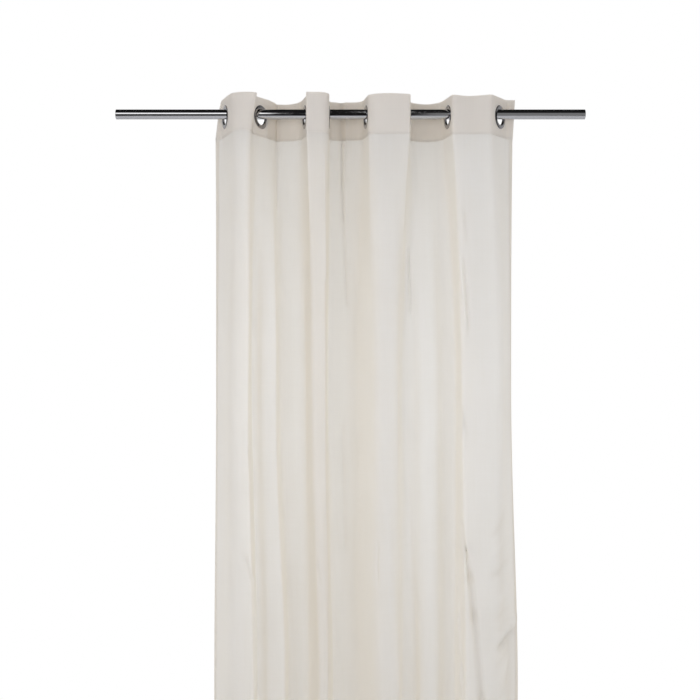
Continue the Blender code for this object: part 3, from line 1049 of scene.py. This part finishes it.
front_half = start_section("eyelet_front", EYELET_BORE, BARREL_RADIUS, SEAT, CROWN)
extrude_edge(
    front_half, ((BARREL_RADIUS, SEAT), (BARREL_RADIUS, CROWN)), (DOME_EDGE - BARREL_RADIUS, 0, 0)
)
extrude_edge(
    front_half, ((DOME_EDGE, SEAT), (DOME_EDGE, CROWN)), (EYELET_RADIUS - DOME_EDGE, 0, 0)
)
extrude_edge(front_half, ((EYELET_BORE, SEAT), (BARREL_RADIUS, SEAT)), (0, 0, -CROWN - SEAT))
move_corner(front_half, EYELET_RADIUS, CROWN, (0, 0, RIM - CROWN - LIP / 2))
move_corner(front_half, DOME_EDGE, CROWN, (0, 0, (RIM - CROWN) * DOME_FALL))
move_corner(front_half, EYELET_BORE, CROWN, (0, 0, -LIP))
spin_section(front_half, LIP)

back_half = start_section(
    "eyelet_back", BARREL_RADIUS + WASHER_GAP, EYELET_RADIUS, -CROWN, -SEAT
)
move_corner(back_half, EYELET_RADIUS, -CROWN, (0, 0, CROWN - RIM))
spin_section(back_half, WASHER_ROUND)
print("an eyelet:", triangles(front_half), "and", triangles(back_half), "triangles")

# %% [markdown]
# All eight eyelets are alike, so each half is turned once and copied. A copy gets its own mesh,
# and its place goes into that mesh, so that the object stays at the origin.

# %% One eyelet in each hole
eyelets = []
for index in range(len(EYELETS)):
    for half, side in ((front_half, "front"), (back_half, "back")):
        name = f"eyelet_{index + 1}_{side}"
        piece = bpy.data.objects.new(f"{name}_turned", half.data.copy())
        piece.data.transform(stand_at_eyelet(index))
        bpy.context.scene.collection.objects.link(piece)
        eyelets.append((piece, name))
for half in (front_half, back_half):
    bpy.data.objects.remove(half)
print("eyelet halves:", len(eyelets))

# %% [markdown]
# ## The rod
#
# A chromed tube shows a straight band of the room along its whole length, and any facet breaks
# it. So the rod is turned finer than its solid, and its ends get a rounded edge by a bevel.

# %% Rod
ROD_LENGTH = 1200 * MM
ROD_SIDES = 96
ROD_END_ROUND = 0.8 * MM
ROD_END_SEGMENTS = 3
SMOOTH_BELOW = math.radians(40)

deselect_all()
bpy.ops.mesh.primitive_cylinder_add(
    vertices=ROD_SIDES, radius=ROD_RADIUS, depth=ROD_LENGTH, rotation=(0, math.radians(90), 0)
)
rod = bpy.context.object
rod.name = "rod_tube"
bpy.ops.object.transform_apply(location=True, rotation=True, scale=True)
bpy.ops.object.mode_set(mode="EDIT")
bpy.ops.mesh.select_all(action="DESELECT")
bpy.ops.object.mode_set(mode="OBJECT")
for edge in rod.data.edges:
    ends = [rod.data.vertices[i].co.x for i in edge.vertices]
    edge.select = abs(ends[0] - ends[1]) < SAME_PLACE  # it runs round an end
bpy.ops.object.mode_set(mode="EDIT")
bpy.ops.mesh.select_mode(type="EDGE")
bpy.ops.mesh.bevel(offset=ROD_END_ROUND, segments=ROD_END_SEGMENTS, affect="EDGES")
bpy.ops.object.mode_set(mode="OBJECT")
bpy.ops.object.shade_smooth_by_angle(angle=SMOOTH_BELOW)
print("rod:", triangles(rod), "triangles")

# %% [markdown]
# ## Stitching
#
# The seam and the hems are sewn by machine: stitches about 3 mm long, with a small gap where
# the needle went in. One stitch is modelled, a short six-sided rod with bevelled ends, and then
# repeated along the cloth as one mesh, because thousands of objects would be slow.

# %% One stitch
STITCH_PITCH = 3.4 * MM
STITCH_LENGTH = 2.8 * MM
STITCH_RADIUS = 0.22 * MM
STITCH_SIDES = 6
STITCH_BEVEL = 0.6 * STITCH_RADIUS

deselect_all()
bpy.ops.mesh.primitive_cylinder_add(
    vertices=STITCH_SIDES,
    radius=STITCH_RADIUS,
    depth=STITCH_LENGTH,
    rotation=(0, math.radians(90), 0),
)
one_stitch = bpy.context.object
bpy.ops.object.transform_apply(location=True, rotation=True, scale=True)
bpy.ops.object.mode_set(mode="EDIT")
bpy.ops.mesh.select_all(action="SELECT")
bpy.ops.mesh.bevel(offset=STITCH_BEVEL, segments=1, affect="EDGES")
bpy.ops.object.mode_set(mode="OBJECT")
stitch_points = np.array([v.co for v in one_stitch.data.vertices])
stitch_faces = [tuple(face.vertices) for face in one_stitch.data.polygons]
bpy.data.objects.remove(one_stitch)
print("a stitch:", len(stitch_points), "points")

# %% A row of stitches
def sewn_line(name, places, heights, offset, along_seam):
    """A row of stitches at these places and heights on the hung cloth, this far off its path."""
    points, faces = [], []
    for count, (u, z) in enumerate(zip(places, heights)):
        line = line_at(z)
        middle = np.array([np.interp(u, THREADS, line[:, axis]) for axis in (0, 1)])
        out = np.array([np.interp(u, THREADS, facing_along(line)[:, axis]) for axis in (0, 1)])
        out /= np.linalg.norm(out)
        off = offset(np.array([u]), z, 0.0)[0]
        centre = [*(middle + out * off), z - np.interp(u, THREADS, droop(z))]
        toward = np.array([*out, 0])
        run = np.array([-out[1], out[0], 0]) if along_seam else np.array([0, 0, 1])
        side = np.cross(toward, run)
        points.append(stitch_points @ np.array([run, side, toward]) + centre)
        start = count * len(stitch_points)
        faces += [tuple(start + i for i in face) for face in stitch_faces]
    mesh = bpy.data.meshes.new(name)
    mesh.from_pydata(np.concatenate(points).tolist(), [], faces)
    row = bpy.data.objects.new(name, mesh)
    bpy.context.scene.collection.objects.link(row)
    mesh.shade_smooth()
    return row


def on_panel(lift):
    """Stitches on a face of the panel. lift is from the front layer's middle, to the room."""
    return lambda u, z, behind: panel_offset(u, z, behind) + lift


def on_heading(lift):
    """Stitches on a face of the heading. A negative lift is the back face."""
    behind_layer = 0 if lift > 0 else 2 * HEADING_ROUND
    return lambda u, z, behind: heading_offset(u, z, behind_layer) + lift


print("stitches to the metre:", round(1 / STITCH_PITCH))

# %% The rows of the seam and of the hems
SUNK = 0.6  # the share of its radius that a stitch lies in the cloth
ROW_END = 3 * MM  # a row ends about this far from an edge
proud = CLOTH_THICKNESS / 2 + (1 - SUNK) * STITCH_RADIUS
seam_places = np.arange(ROW_END, PANEL_WIDTH - 2 * MM, STITCH_PITCH)
seam_heights = np.full(len(seam_places), SEAM_STITCHING)
hem_heights = np.full(len(seam_places), HEM_STITCHING)
side_heights = np.arange(HEM_Z + 4 * MM, SEAM_Z - ROW_END, STITCH_PITCH)
behind_side = 2 * SIDE_ROUND  # the turned-over layer's middle
behind_hem = 2 * BOTTOM_ROUND

stitching = [
    sewn_line("stitches_seam_front", seam_places, seam_heights, on_heading(proud), True),
    sewn_line("stitches_seam_back", seam_places, seam_heights, on_heading(-proud), True),
    sewn_line("stitches_hem_front", seam_places, hem_heights, on_panel(proud), True),
    sewn_line("stitches_hem_back", seam_places, hem_heights, on_panel(-behind_hem - proud), True),
]
for side, u in (("left", SIDE_HEM), ("right", PANEL_WIDTH - SIDE_HEM)):
    for face, lift in (("front", proud), ("back", -behind_side - proud)):
        heights = side_heights
        if face == "back":
            heights = side_heights[side_heights > HEM_Z + BOTTOM_FLAP + ROW_END]
        places = np.full(len(heights), u)
        stitching.append(
            sewn_line(f"stitches_{side}_{face}", places, heights, on_panel(lift), False)
        )
sewn = sum(triangles(row) for row in stitching)
print("stitch rows:", len(stitching), "with", sewn, "triangles")

# %% [markdown]
# ## Materials
#
# One function turns a colour as it is picked on screen into the linear values that shaders
# want, and one adds a node with its settings and links. Everything else is stated where it is
# used.

# %% Helpers for materials
def linear(hex_colour):
    """An sRGB colour such as "E8E4DA" as linear red, green, blue and alpha."""
    parts = [int(hex_colour[i : i + 2], 16) / 255 for i in (0, 2, 4)]
    return (*(p / 12.92 if p <= 0.04045 else ((p + 0.055) / 1.055) ** 2.4 for p in parts), 1)


def add_node(tree, kind, inputs=None, **settings):
    """Adds a node. An input is given a value, or the output that feeds it. A Mix node has
    inputs of the same name for each kind of data, so its colours are 6 and 7, its factor 0."""
    node = tree.nodes.new(kind)
    for name, value in settings.items():
        setattr(node, name, value)
    for name, value in (inputs or {}).items():
        if isinstance(value, bpy.types.NodeSocket):
            tree.links.new(value, node.inputs[name])
        else:
            node.inputs[name].default_value = value
    return node


def new_material(name):
    material = bpy.data.materials.new(name)
    material.use_nodes = True
    material.node_tree.nodes.clear()
    return material, material.node_tree


print("linear value of a middle grey:", round(linear("808080")[0], 3))

# %% [markdown]
# ### The cloth
#
# Plain-woven linen and cotton, undyed, about 180 g a square metre. The sheet has two faces, and
# each lets most light through scattered, and a little of it straight, as the gaps between the
# threads do, so about a third comes through both. Spun linen is uneven: slubs, short thick
# stretches of a thread, run up and across. So the shader mixes a matt surface with a translucent
# one, and a small clear share. Light that comes through is filtered by the flax and turns
# warmer. In the troughs of the creases the colours are darkened, a painted shade, as far as
# the attribute of the grid tells the shader. The threads, 0.5 mm apart, are too fine to
# show at this distance, so the weave is drawn at 2.4 mm, as coarse as it needs to show.

# %% Slubs of the cloth
SLUB_WIDTH = 3.0 * MM
SLUB_LENGTH = 140 * MM
LEVEL_SLUB_WIDTH = 0.8 * SLUB_WIDTH
LEVEL_SLUB_LENGTH = 0.7 * SLUB_LENGTH
CLOUD_WIDTH = 90 * MM
CLOUD_LENGTH = 160 * MM


def streaks(tree, uv, width, length, seed):
    """Streaks of this size across and along the cloth, from 0 to 1."""
    scaled = add_node(
        tree,
        "ShaderNodeMapping",
        {"Vector": uv, "Scale": (1 / width, 1 / length, 1), "Location": (seed, seed, 0)},
    )
    return add_node(
        tree,
        "ShaderNodeTexNoise",
        {"Vector": scaled.outputs["Vector"], "Scale": 1.0, "Detail": 2.0, "Roughness": 0.6},
        noise_dimensions="2D",
    ).outputs["Fac"]


def slubs_of(tree, uv):
    """The slubs of the upright and of the level threads together."""
    upright = streaks(tree, uv, SLUB_WIDTH, SLUB_LENGTH, 3.1)
    level = streaks(tree, uv, LEVEL_SLUB_LENGTH, LEVEL_SLUB_WIDTH, 8.7)
    return add_node(
        tree, "ShaderNodeMix", {"Factor": 0.42, "A": upright, "B": level}, data_type="FLOAT"
    ).outputs[0]


def mottling(tree, uv, slubs):
    """How light the cloth is from place to place, from 0 to 1: its slubs under slow clouds."""
    cloudy = streaks(tree, uv, CLOUD_WIDTH, CLOUD_LENGTH, 5.3)
    mixed = add_node(
        tree, "ShaderNodeMix", {"Factor": 0.3, "A": slubs, "B": cloudy}, data_type="FLOAT"
    ).outputs[0]
    return add_node(
        tree,
        "ShaderNodeMapRange",
        {"Value": mixed, "From Min": 0.34, "From Max": 0.66, "To Min": 0.0, "To Max": 1.0},
    ).outputs["Result"]


print("slubs:", round(SLUB_WIDTH / MM, 1), "mm wide and", round(SLUB_LENGTH / MM), "mm long")

# %% Weave of the cloth
WEAVE_PITCH = 2.4 * MM
WAVES_IN_TURN = 20  # a wave texture of scale 1 makes this many waves in 2 pi
WEAVE_RELIEF = 0.35 * MM


def weave_bump(tree, uv, slubs):
    """The crossing threads as bump: two waves at right angles, raised where a slub runs."""
    scale = 2 * math.pi / (WAVES_IN_TURN * WEAVE_PITCH)
    over, under = (
        add_node(
            tree,
            "ShaderNodeTexWave",
            {"Vector": uv, "Scale": scale, "Distortion": 0.0},
            bands_direction=direction,
        ).outputs["Fac"]
        for direction in "XY"
    )
    weave = add_node(
        tree, "ShaderNodeMath", {0: over, 1: under}, operation="MULTIPLY"
    ).outputs[0]
    relief = add_node(
        tree, "ShaderNodeMath", {0: weave, 1: 0.25, 2: slubs}, operation="MULTIPLY_ADD"
    ).outputs[0]
    return add_node(
        tree, "ShaderNodeBump", {"Strength": 0.35, "Distance": WEAVE_RELIEF, "Height": relief}
    ).outputs["Normal"]


print("drawn threads to the metre:", round(1 / WEAVE_PITCH))

# %% Cloth
CREASE_SHADE = 0.14  # the share of the next two colours, painted crease shade, where a trough is deepest
PAINTED_SHADE_FACE = "CFC7B8"
PAINTED_SHADE_THROUGH = "CFC3AC"


def woven_cloth(name, face_hex, shade_hex, through_hex, through_share, clear_share):
    """A plain-woven cloth: its lighter and darker threads, the colour of the light that comes
    through it, and the shares of light that come through scattered and straight."""
    material, tree = new_material(name)
    uv = add_node(tree, "ShaderNodeUVMap", uv_map="cloth").outputs["UV"]
    slubs = slubs_of(tree, uv)
    bump = weave_bump(tree, uv, slubs)
    threads = add_node(
        tree,
        "ShaderNodeMix",
        {6: linear(shade_hex), 7: linear(face_hex), 0: mottling(tree, uv, slubs)},
        data_type="RGBA",
    ).outputs[2]
    # Painted shade: in the troughs of the creases the thread colour and the colour of the light
    # through the cloth are darkened towards the two painted-shade colours above.
    pressed = add_node(tree, "ShaderNodeAttribute", attribute_name="crease_shading").outputs["Fac"]
    painted_shade = add_node(
        tree, "ShaderNodeMath", {0: pressed, 1: CREASE_SHADE}, operation="MULTIPLY"
    ).outputs[0]
    face, filtered = (
        add_node(
            tree, "ShaderNodeMix", {6: colour, 7: linear(painted_shade_hex), 0: painted_shade}, data_type="RGBA"
        ).outputs[2]
        for colour, painted_shade_hex in (
            (threads, PAINTED_SHADE_FACE),
            (linear(through_hex), PAINTED_SHADE_THROUGH),
        )
    )
    surface = add_node(
        tree,
        "ShaderNodeBsdfPrincipled",
        {
            "Base Color": face,
            "Roughness": 0.9,
            "Specular IOR Level": 0.0,
            "Sheen Weight": 0.25,
            "Sheen Roughness": 0.5,
            "Normal": bump,
        },
    ).outputs["BSDF"]
    through = add_node(
        tree, "ShaderNodeBsdfTranslucent", {"Color": filtered, "Normal": bump}
    ).outputs["BSDF"]
    lit = add_node(
        tree, "ShaderNodeMixShader", {0: through_share, 1: surface, 2: through}
    ).outputs["Shader"]
    clear = add_node(tree, "ShaderNodeBsdfTransparent").outputs["BSDF"]
    sheer = add_node(
        tree, "ShaderNodeMixShader", {0: clear_share, 1: lit, 2: clear}
    ).outputs["Shader"]
    add_node(tree, "ShaderNodeOutputMaterial", {"Surface": sheer})
    return material


panel_finish = woven_cloth("linen_cotton_voile", "FCFCFB", "F6F5F2", "FCF7ED", 0.62, 0.03)
heading_finish = woven_cloth(
    "linen_cotton_voile_stiffened", "FCFBF8", "F6F4F1", "FCF6EB", 0.56, 0.0
)
print("cloth finishes:", panel_finish.name, heading_finish.name)

# %% [markdown]
# ### Sewing thread
#
# Spun polyester in the cloth's own colour: a little smoother and denser than the linen, so the
# rows show mostly by their shadow.

# %% Thread
TWIST_LENGTH = 0.6 * MM

thread_finish, tree = new_material("spun_polyester_thread")
twist = add_node(
    tree,
    "ShaderNodeTexNoise",
    {
        "Vector": add_node(tree, "ShaderNodeTexCoord").outputs["Object"],
        "Scale": 1 / TWIST_LENGTH,
        "Detail": 1.0,
    },
).outputs["Fac"]
thread_colour = add_node(
    tree, "ShaderNodeMix", {6: linear("E4DED2"), 7: linear("F1EDE4"), 0: twist}, data_type="RGBA"
).outputs[2]
thread_surface = add_node(
    tree,
    "ShaderNodeBsdfPrincipled",
    {"Base Color": thread_colour, "Roughness": 0.6, "Sheen Weight": 0.1},
).outputs["BSDF"]
add_node(tree, "ShaderNodeOutputMaterial", {"Surface": thread_surface})
print("thread finish:", thread_finish.name)

# %% [markdown]
# ### Chrome
#
# Polished nickel-chrome plate on steel for the rod and on brass for the eyelets. It is a mirror
# with a faint blue-grey tint. Handling leaves a haze and hair scratches, so the roughness varies
# a little along the piece, and a very slight waviness of the plate bends the reflections.

# %% Chrome
HAZE_SIZE = 14 * MM
PLATE_RELIEF = 0.2 * MM


def chrome(name, colour_hex, smoothest, roughest, wave_mm):
    """Polished plating with a haze that varies, and a slight waviness each few millimetres."""
    material, tree = new_material(name)
    place = add_node(tree, "ShaderNodeTexCoord").outputs["Object"]
    haze = add_node(
        tree, "ShaderNodeTexNoise", {"Vector": place, "Scale": 1 / HAZE_SIZE, "Detail": 4.0}
    ).outputs["Fac"]
    roughness = add_node(
        tree,
        "ShaderNodeMapRange",
        {"Value": haze, "From Min": 0.3, "From Max": 0.7, "To Min": smoothest, "To Max": roughest},
    ).outputs["Result"]
    waves = add_node(
        tree, "ShaderNodeTexNoise", {"Vector": place, "Scale": 1 / (wave_mm * MM), "Detail": 1.0}
    ).outputs["Fac"]
    bump = add_node(
        tree, "ShaderNodeBump", {"Strength": 0.02, "Distance": PLATE_RELIEF, "Height": waves}
    ).outputs["Normal"]
    surface = add_node(
        tree,
        "ShaderNodeBsdfPrincipled",
        {
            "Base Color": linear(colour_hex),
            "Metallic": 1.0,
            "Roughness": roughness,
            "Normal": bump,
        },
    ).outputs["BSDF"]
    add_node(tree, "ShaderNodeOutputMaterial", {"Surface": surface})
    return material


rod_finish = chrome("polished_chrome_on_steel", "C4C4C6", 0.05, 0.12, 9)
eyelet_finish = chrome("polished_chrome_on_brass", "A9A8AA", 0.08, 0.18, 5)
print("metal finishes:", rod_finish.name, eyelet_finish.name)

# %% [markdown]
# ## Dressing the pieces
#
# Each piece takes its finish and rides on the one body, since the curtain stays
# as it hangs. Where it stands for a solid, that solid is hidden.

# %% Finish, body and solid of each piece
def dress(piece, finish, slot, *nodes):
    piece.data.materials.clear()
    piece.data.materials.append(finish)
    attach(piece, "root")
    if nodes:
        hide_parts(*nodes)


dress(rod, rod_finish, "rod_chrome", "rod")
dress(panel, panel_finish, "cloth", "panel")
dress(heading, heading_finish, "heading_cloth", "heading_band")
for piece, node in eyelets:
    dress(piece, eyelet_finish, "eyelet_chrome", node)
for row in stitching:
    dress(row, thread_finish, "heading_cloth" if "seam" in row.name else "cloth")
print("eyelet halves and stitch rows dressed:", len(eyelets) + len(stitching))

# %% [markdown]
# ## Floor, light and surroundings
#
# The floor is painted and matt, and the curtain ends a little above it. It could be a square, but
# a disc has no corner that turns up in one view and not in the next.

# %% Floor
FLOOR_GAP = 14 * MM
FLOOR_RADIUS = 3.1
FLOOR_THICKNESS = 20 * MM
FLOOR_SIDES = 128

deselect_all()
bpy.ops.mesh.primitive_cylinder_add(
    vertices=FLOOR_SIDES,
    radius=FLOOR_RADIUS,
    depth=FLOOR_THICKNESS,
    location=(0, 0, HEM_Z - FLOOR_GAP - FLOOR_THICKNESS / 2),
)
floor = bpy.context.object
floor.name = "floor"
floor_finish, tree = new_material("matt_painted_floor")
grain = add_node(
    tree,
    "ShaderNodeTexNoise",
    {"Vector": add_node(tree, "ShaderNodeTexCoord").outputs["Object"], "Scale": 6.0},
).outputs["Fac"]
floor_colour = add_node(
    tree, "ShaderNodeMix", {6: linear("F7F6F4"), 7: linear("FDFCFA"), 0: grain}, data_type="RGBA"
).outputs[2]
floor_surface = add_node(
    tree, "ShaderNodeBsdfPrincipled", {"Base Color": floor_colour, "Roughness": 0.7}
).outputs["BSDF"]
add_node(tree, "ShaderNodeOutputMaterial", {"Surface": floor_surface})
floor.data.materials.append(floor_finish)
print("floor at", round(HEM_Z - FLOOR_GAP, 3), "m")

# %% [markdown]
# Sheer cloth shows its folds only softly when light comes from all sides, as in a white studio.
# So most of it comes level from the left and the right and from above, out of surroundings that
# the camera sees as plain white. Chrome would mirror so much white and look like paper, so mirror
# rays meet a dark room instead, with a pale floor, a grey wall behind the curtain and three
# softboxes in front. Each of these is a patch of directions, and a direction's three parts tell
# how far it goes to the right, away from the camera and up.

# %% Directions
OPEN = 2  # past any part of a direction, for a patch that has no end on that side

world = bpy.data.worlds.new("surroundings")
world.use_nodes = True
tree = world.node_tree
tree.nodes.clear()
direction = add_node(tree, "ShaderNodeTexCoord").outputs["Generated"]
toward = add_node(tree, "ShaderNodeSeparateXYZ", {"Vector": direction})
right, away, up = (toward.outputs[axis] for axis in "XYZ")


def between(output, low, high, soft):
    """1 where this part of the direction lies between low and high, with soft edges."""
    rise, fall = (
        add_node(
            tree,
            "ShaderNodeMapRange",
            {"Value": output, "From Min": edge - soft, "From Max": edge + soft},
        ).outputs["Result"]
        for edge in (low, high)
    )
    return add_node(tree, "ShaderNodeMath", {0: rise, 1: fall}, operation="SUBTRACT").outputs[0]


def product(brightness, *sides):
    """A brightness that is kept where all these sides of a patch are 1."""
    for side in sides:
        brightness = add_node(
            tree, "ShaderNodeMath", {0: side, 1: brightness}, operation="MULTIPLY"
        ).outputs[0]
    return brightness


print("parts of a direction:", [part.name for part in (right, away, up)])

# %% What chrome mirrors
DARK_ROOM = 0.014


class Softbox(NamedTuple):
    """A softbox in front: its sides as parts of the direction to it, each pair with the
    softness of its edges."""

    brightness: float
    left: float
    right: float
    soft_aside: float
    bottom: float
    top: float
    soft_up: float


SOFTBOXES = (
    Softbox(1.7, -0.6, -0.14, 0.005, 0.0, 0.46, 0.05),  # a white one on the left
    Softbox(2.6, 0.035, 0.095, 0.006, 0.55, 0.8, 0.02),  # a narrow one high up
    Softbox(0.28, 0.135, 0.6, 0.01, -0.62, 0.4, 0.05),  # a dim one on the right
)

in_front = between(away, -OPEN, -0.1, 0.1)
pale_floor = product(0.95, between(up, -OPEN, -0.73, 0.12))
grey_wall = product(0.6, between(away, 0.42, OPEN, 0.17), between(up, -OPEN, 0.45, 0.1))
softboxes = [
    product(
        box.brightness,
        in_front,
        between(right, box.left, box.right, box.soft_aside),
        between(up, box.bottom, box.top, box.soft_up),
    )
    for box in SOFTBOXES
]
mirrored = DARK_ROOM
for patch in (pale_floor, grey_wall, *softboxes):
    mirrored = add_node(
        tree, "ShaderNodeMath", {0: mirrored, 1: patch}, operation="MAXIMUM"
    ).outputs[0]
print("softboxes:", len(softboxes))

# %% What lights the cloth
CEILING_LIGHT = 0.535
SIDE_LIGHT = 1.24

aside = add_node(tree, "ShaderNodeMath", {0: right}, operation="ABSOLUTE").outputs[0]
from_sides, overhead, above_floor = (
    add_node(
        tree,
        "ShaderNodeMapRange",
        {"Value": part, "From Min": none_at, "From Max": full_at, "To Max": most},
    ).outputs["Result"]
    for part, none_at, full_at, most in (
        (aside, 0.2, 0.7, SIDE_LIGHT),
        (up, 0.15, 0.55, 1.0),
        (up, -0.55, -0.15, 1.0),
    )
)
glow = add_node(
    tree,
    "ShaderNodeMix",
    {"Factor": overhead, "A": from_sides, "B": CEILING_LIGHT},
    data_type="FLOAT",
).outputs[0]
print("light from the sides and from above:", SIDE_LIGHT, CEILING_LIGHT)

# %% What each kind of ray meets
ray = add_node(tree, "ShaderNodeLightPath")
soft, dark_room, white = (
    add_node(
        tree, "ShaderNodeBackground", {"Color": linear(colour_hex), "Strength": strength}
    ).outputs["Background"]
    for colour_hex, strength in (
        ("F6F8FF", product(glow, above_floor)),
        ("FFFFFF", mirrored),
        ("FFFFFF", 1.0),
    )
)
lit = add_node(
    tree, "ShaderNodeMixShader", {0: ray.outputs["Is Glossy Ray"], 1: soft, 2: dark_room}
).outputs["Shader"]
seen = add_node(
    tree, "ShaderNodeMixShader", {0: ray.outputs["Is Camera Ray"], 1: lit, 2: white}
).outputs["Shader"]
add_node(tree, "ShaderNodeOutputWorld", {"Surface": seen})
bpy.context.scene.world = world
print("nodes of the surroundings:", len(tree.nodes))

# %% [markdown]
# Lamps add what the surroundings lack: a little light from two wide panels in front, one of them
# high, so that the rod's shadow falls below it, and some from both sides and from behind,
# through the cloth. A soft light straight down keeps the floor pale. Their strengths, and those
# of the surroundings, were found with each light rendered alone: the mix that comes nearest to
# the picture was solved for, then rounded and evened out.

# %% Lamps
SOFTBOX_WHITE = "F8F8FF"
COOL_WHITE = "DDEBFF"


def soft_panel(name, place, target, size, watts, colour_hex):
    """A soft lamp of this width and height that shines from its place to the target."""
    lamp = bpy.data.lights.new(name, "AREA")
    lamp.shape = "RECTANGLE"
    lamp.size, lamp.size_y = size
    lamp.energy = watts
    lamp.color = linear(colour_hex)[:3]
    holder = bpy.data.objects.new(name, lamp)
    holder.location = place
    holder.rotation_euler = (Vector(target) - Vector(place)).to_track_quat("-Z", "Y").to_euler()
    holder.visible_glossy = False
    holder.visible_camera = False
    bpy.context.scene.collection.objects.link(holder)


class SideLamp(NamedTuple):
    """A lamp beside the curtain, to the left or the right, and in front of it or behind."""

    name: str
    x: float
    y: float
    z: float
    watts: float


SIDE_LAMPS = (
    SideLamp("left_lamp", -0.9, -1.2, -0.65, 2.2),
    SideLamp("right_lamp", 0.9, -1.2, -0.65, 2.8),
    SideLamp("back_left_lamp", -0.7, 0.8, -0.7, 2.2),
    SideLamp("back_right_lamp", 0.7, 0.8, -0.7, 1.3),
)
FRONT_TARGET = (0.0, 0.0, -0.8)
SIDE_TARGET_X = 0.2
SIDE_TARGET_Z = -0.7
SIDE_LAMP_SIZE = (0.4, 0.7)

soft_panel("front_lamp", (-0.2, -1.6, -0.7), FRONT_TARGET, (1.0, 1.0), 3.2, SOFTBOX_WHITE)
soft_panel("upper_front_lamp", (-0.2, -1.6, -0.1), FRONT_TARGET, (1.0, 0.6), 7.4, SOFTBOX_WHITE)
for lamp in SIDE_LAMPS:
    target = (math.copysign(SIDE_TARGET_X, lamp.x), 0.0, SIDE_TARGET_Z)
    place = (lamp.x, lamp.y, lamp.z)
    soft_panel(lamp.name, place, target, SIDE_LAMP_SIZE, lamp.watts, COOL_WHITE)

skylight = bpy.data.lights.new("skylight", "SUN")
skylight.energy = 0.5
skylight.angle = math.radians(12)
skylight_holder = bpy.data.objects.new("skylight", skylight)
skylight_holder.visible_glossy = False
bpy.context.scene.collection.objects.link(skylight_holder)
print("lamps:", len(bpy.data.lights))
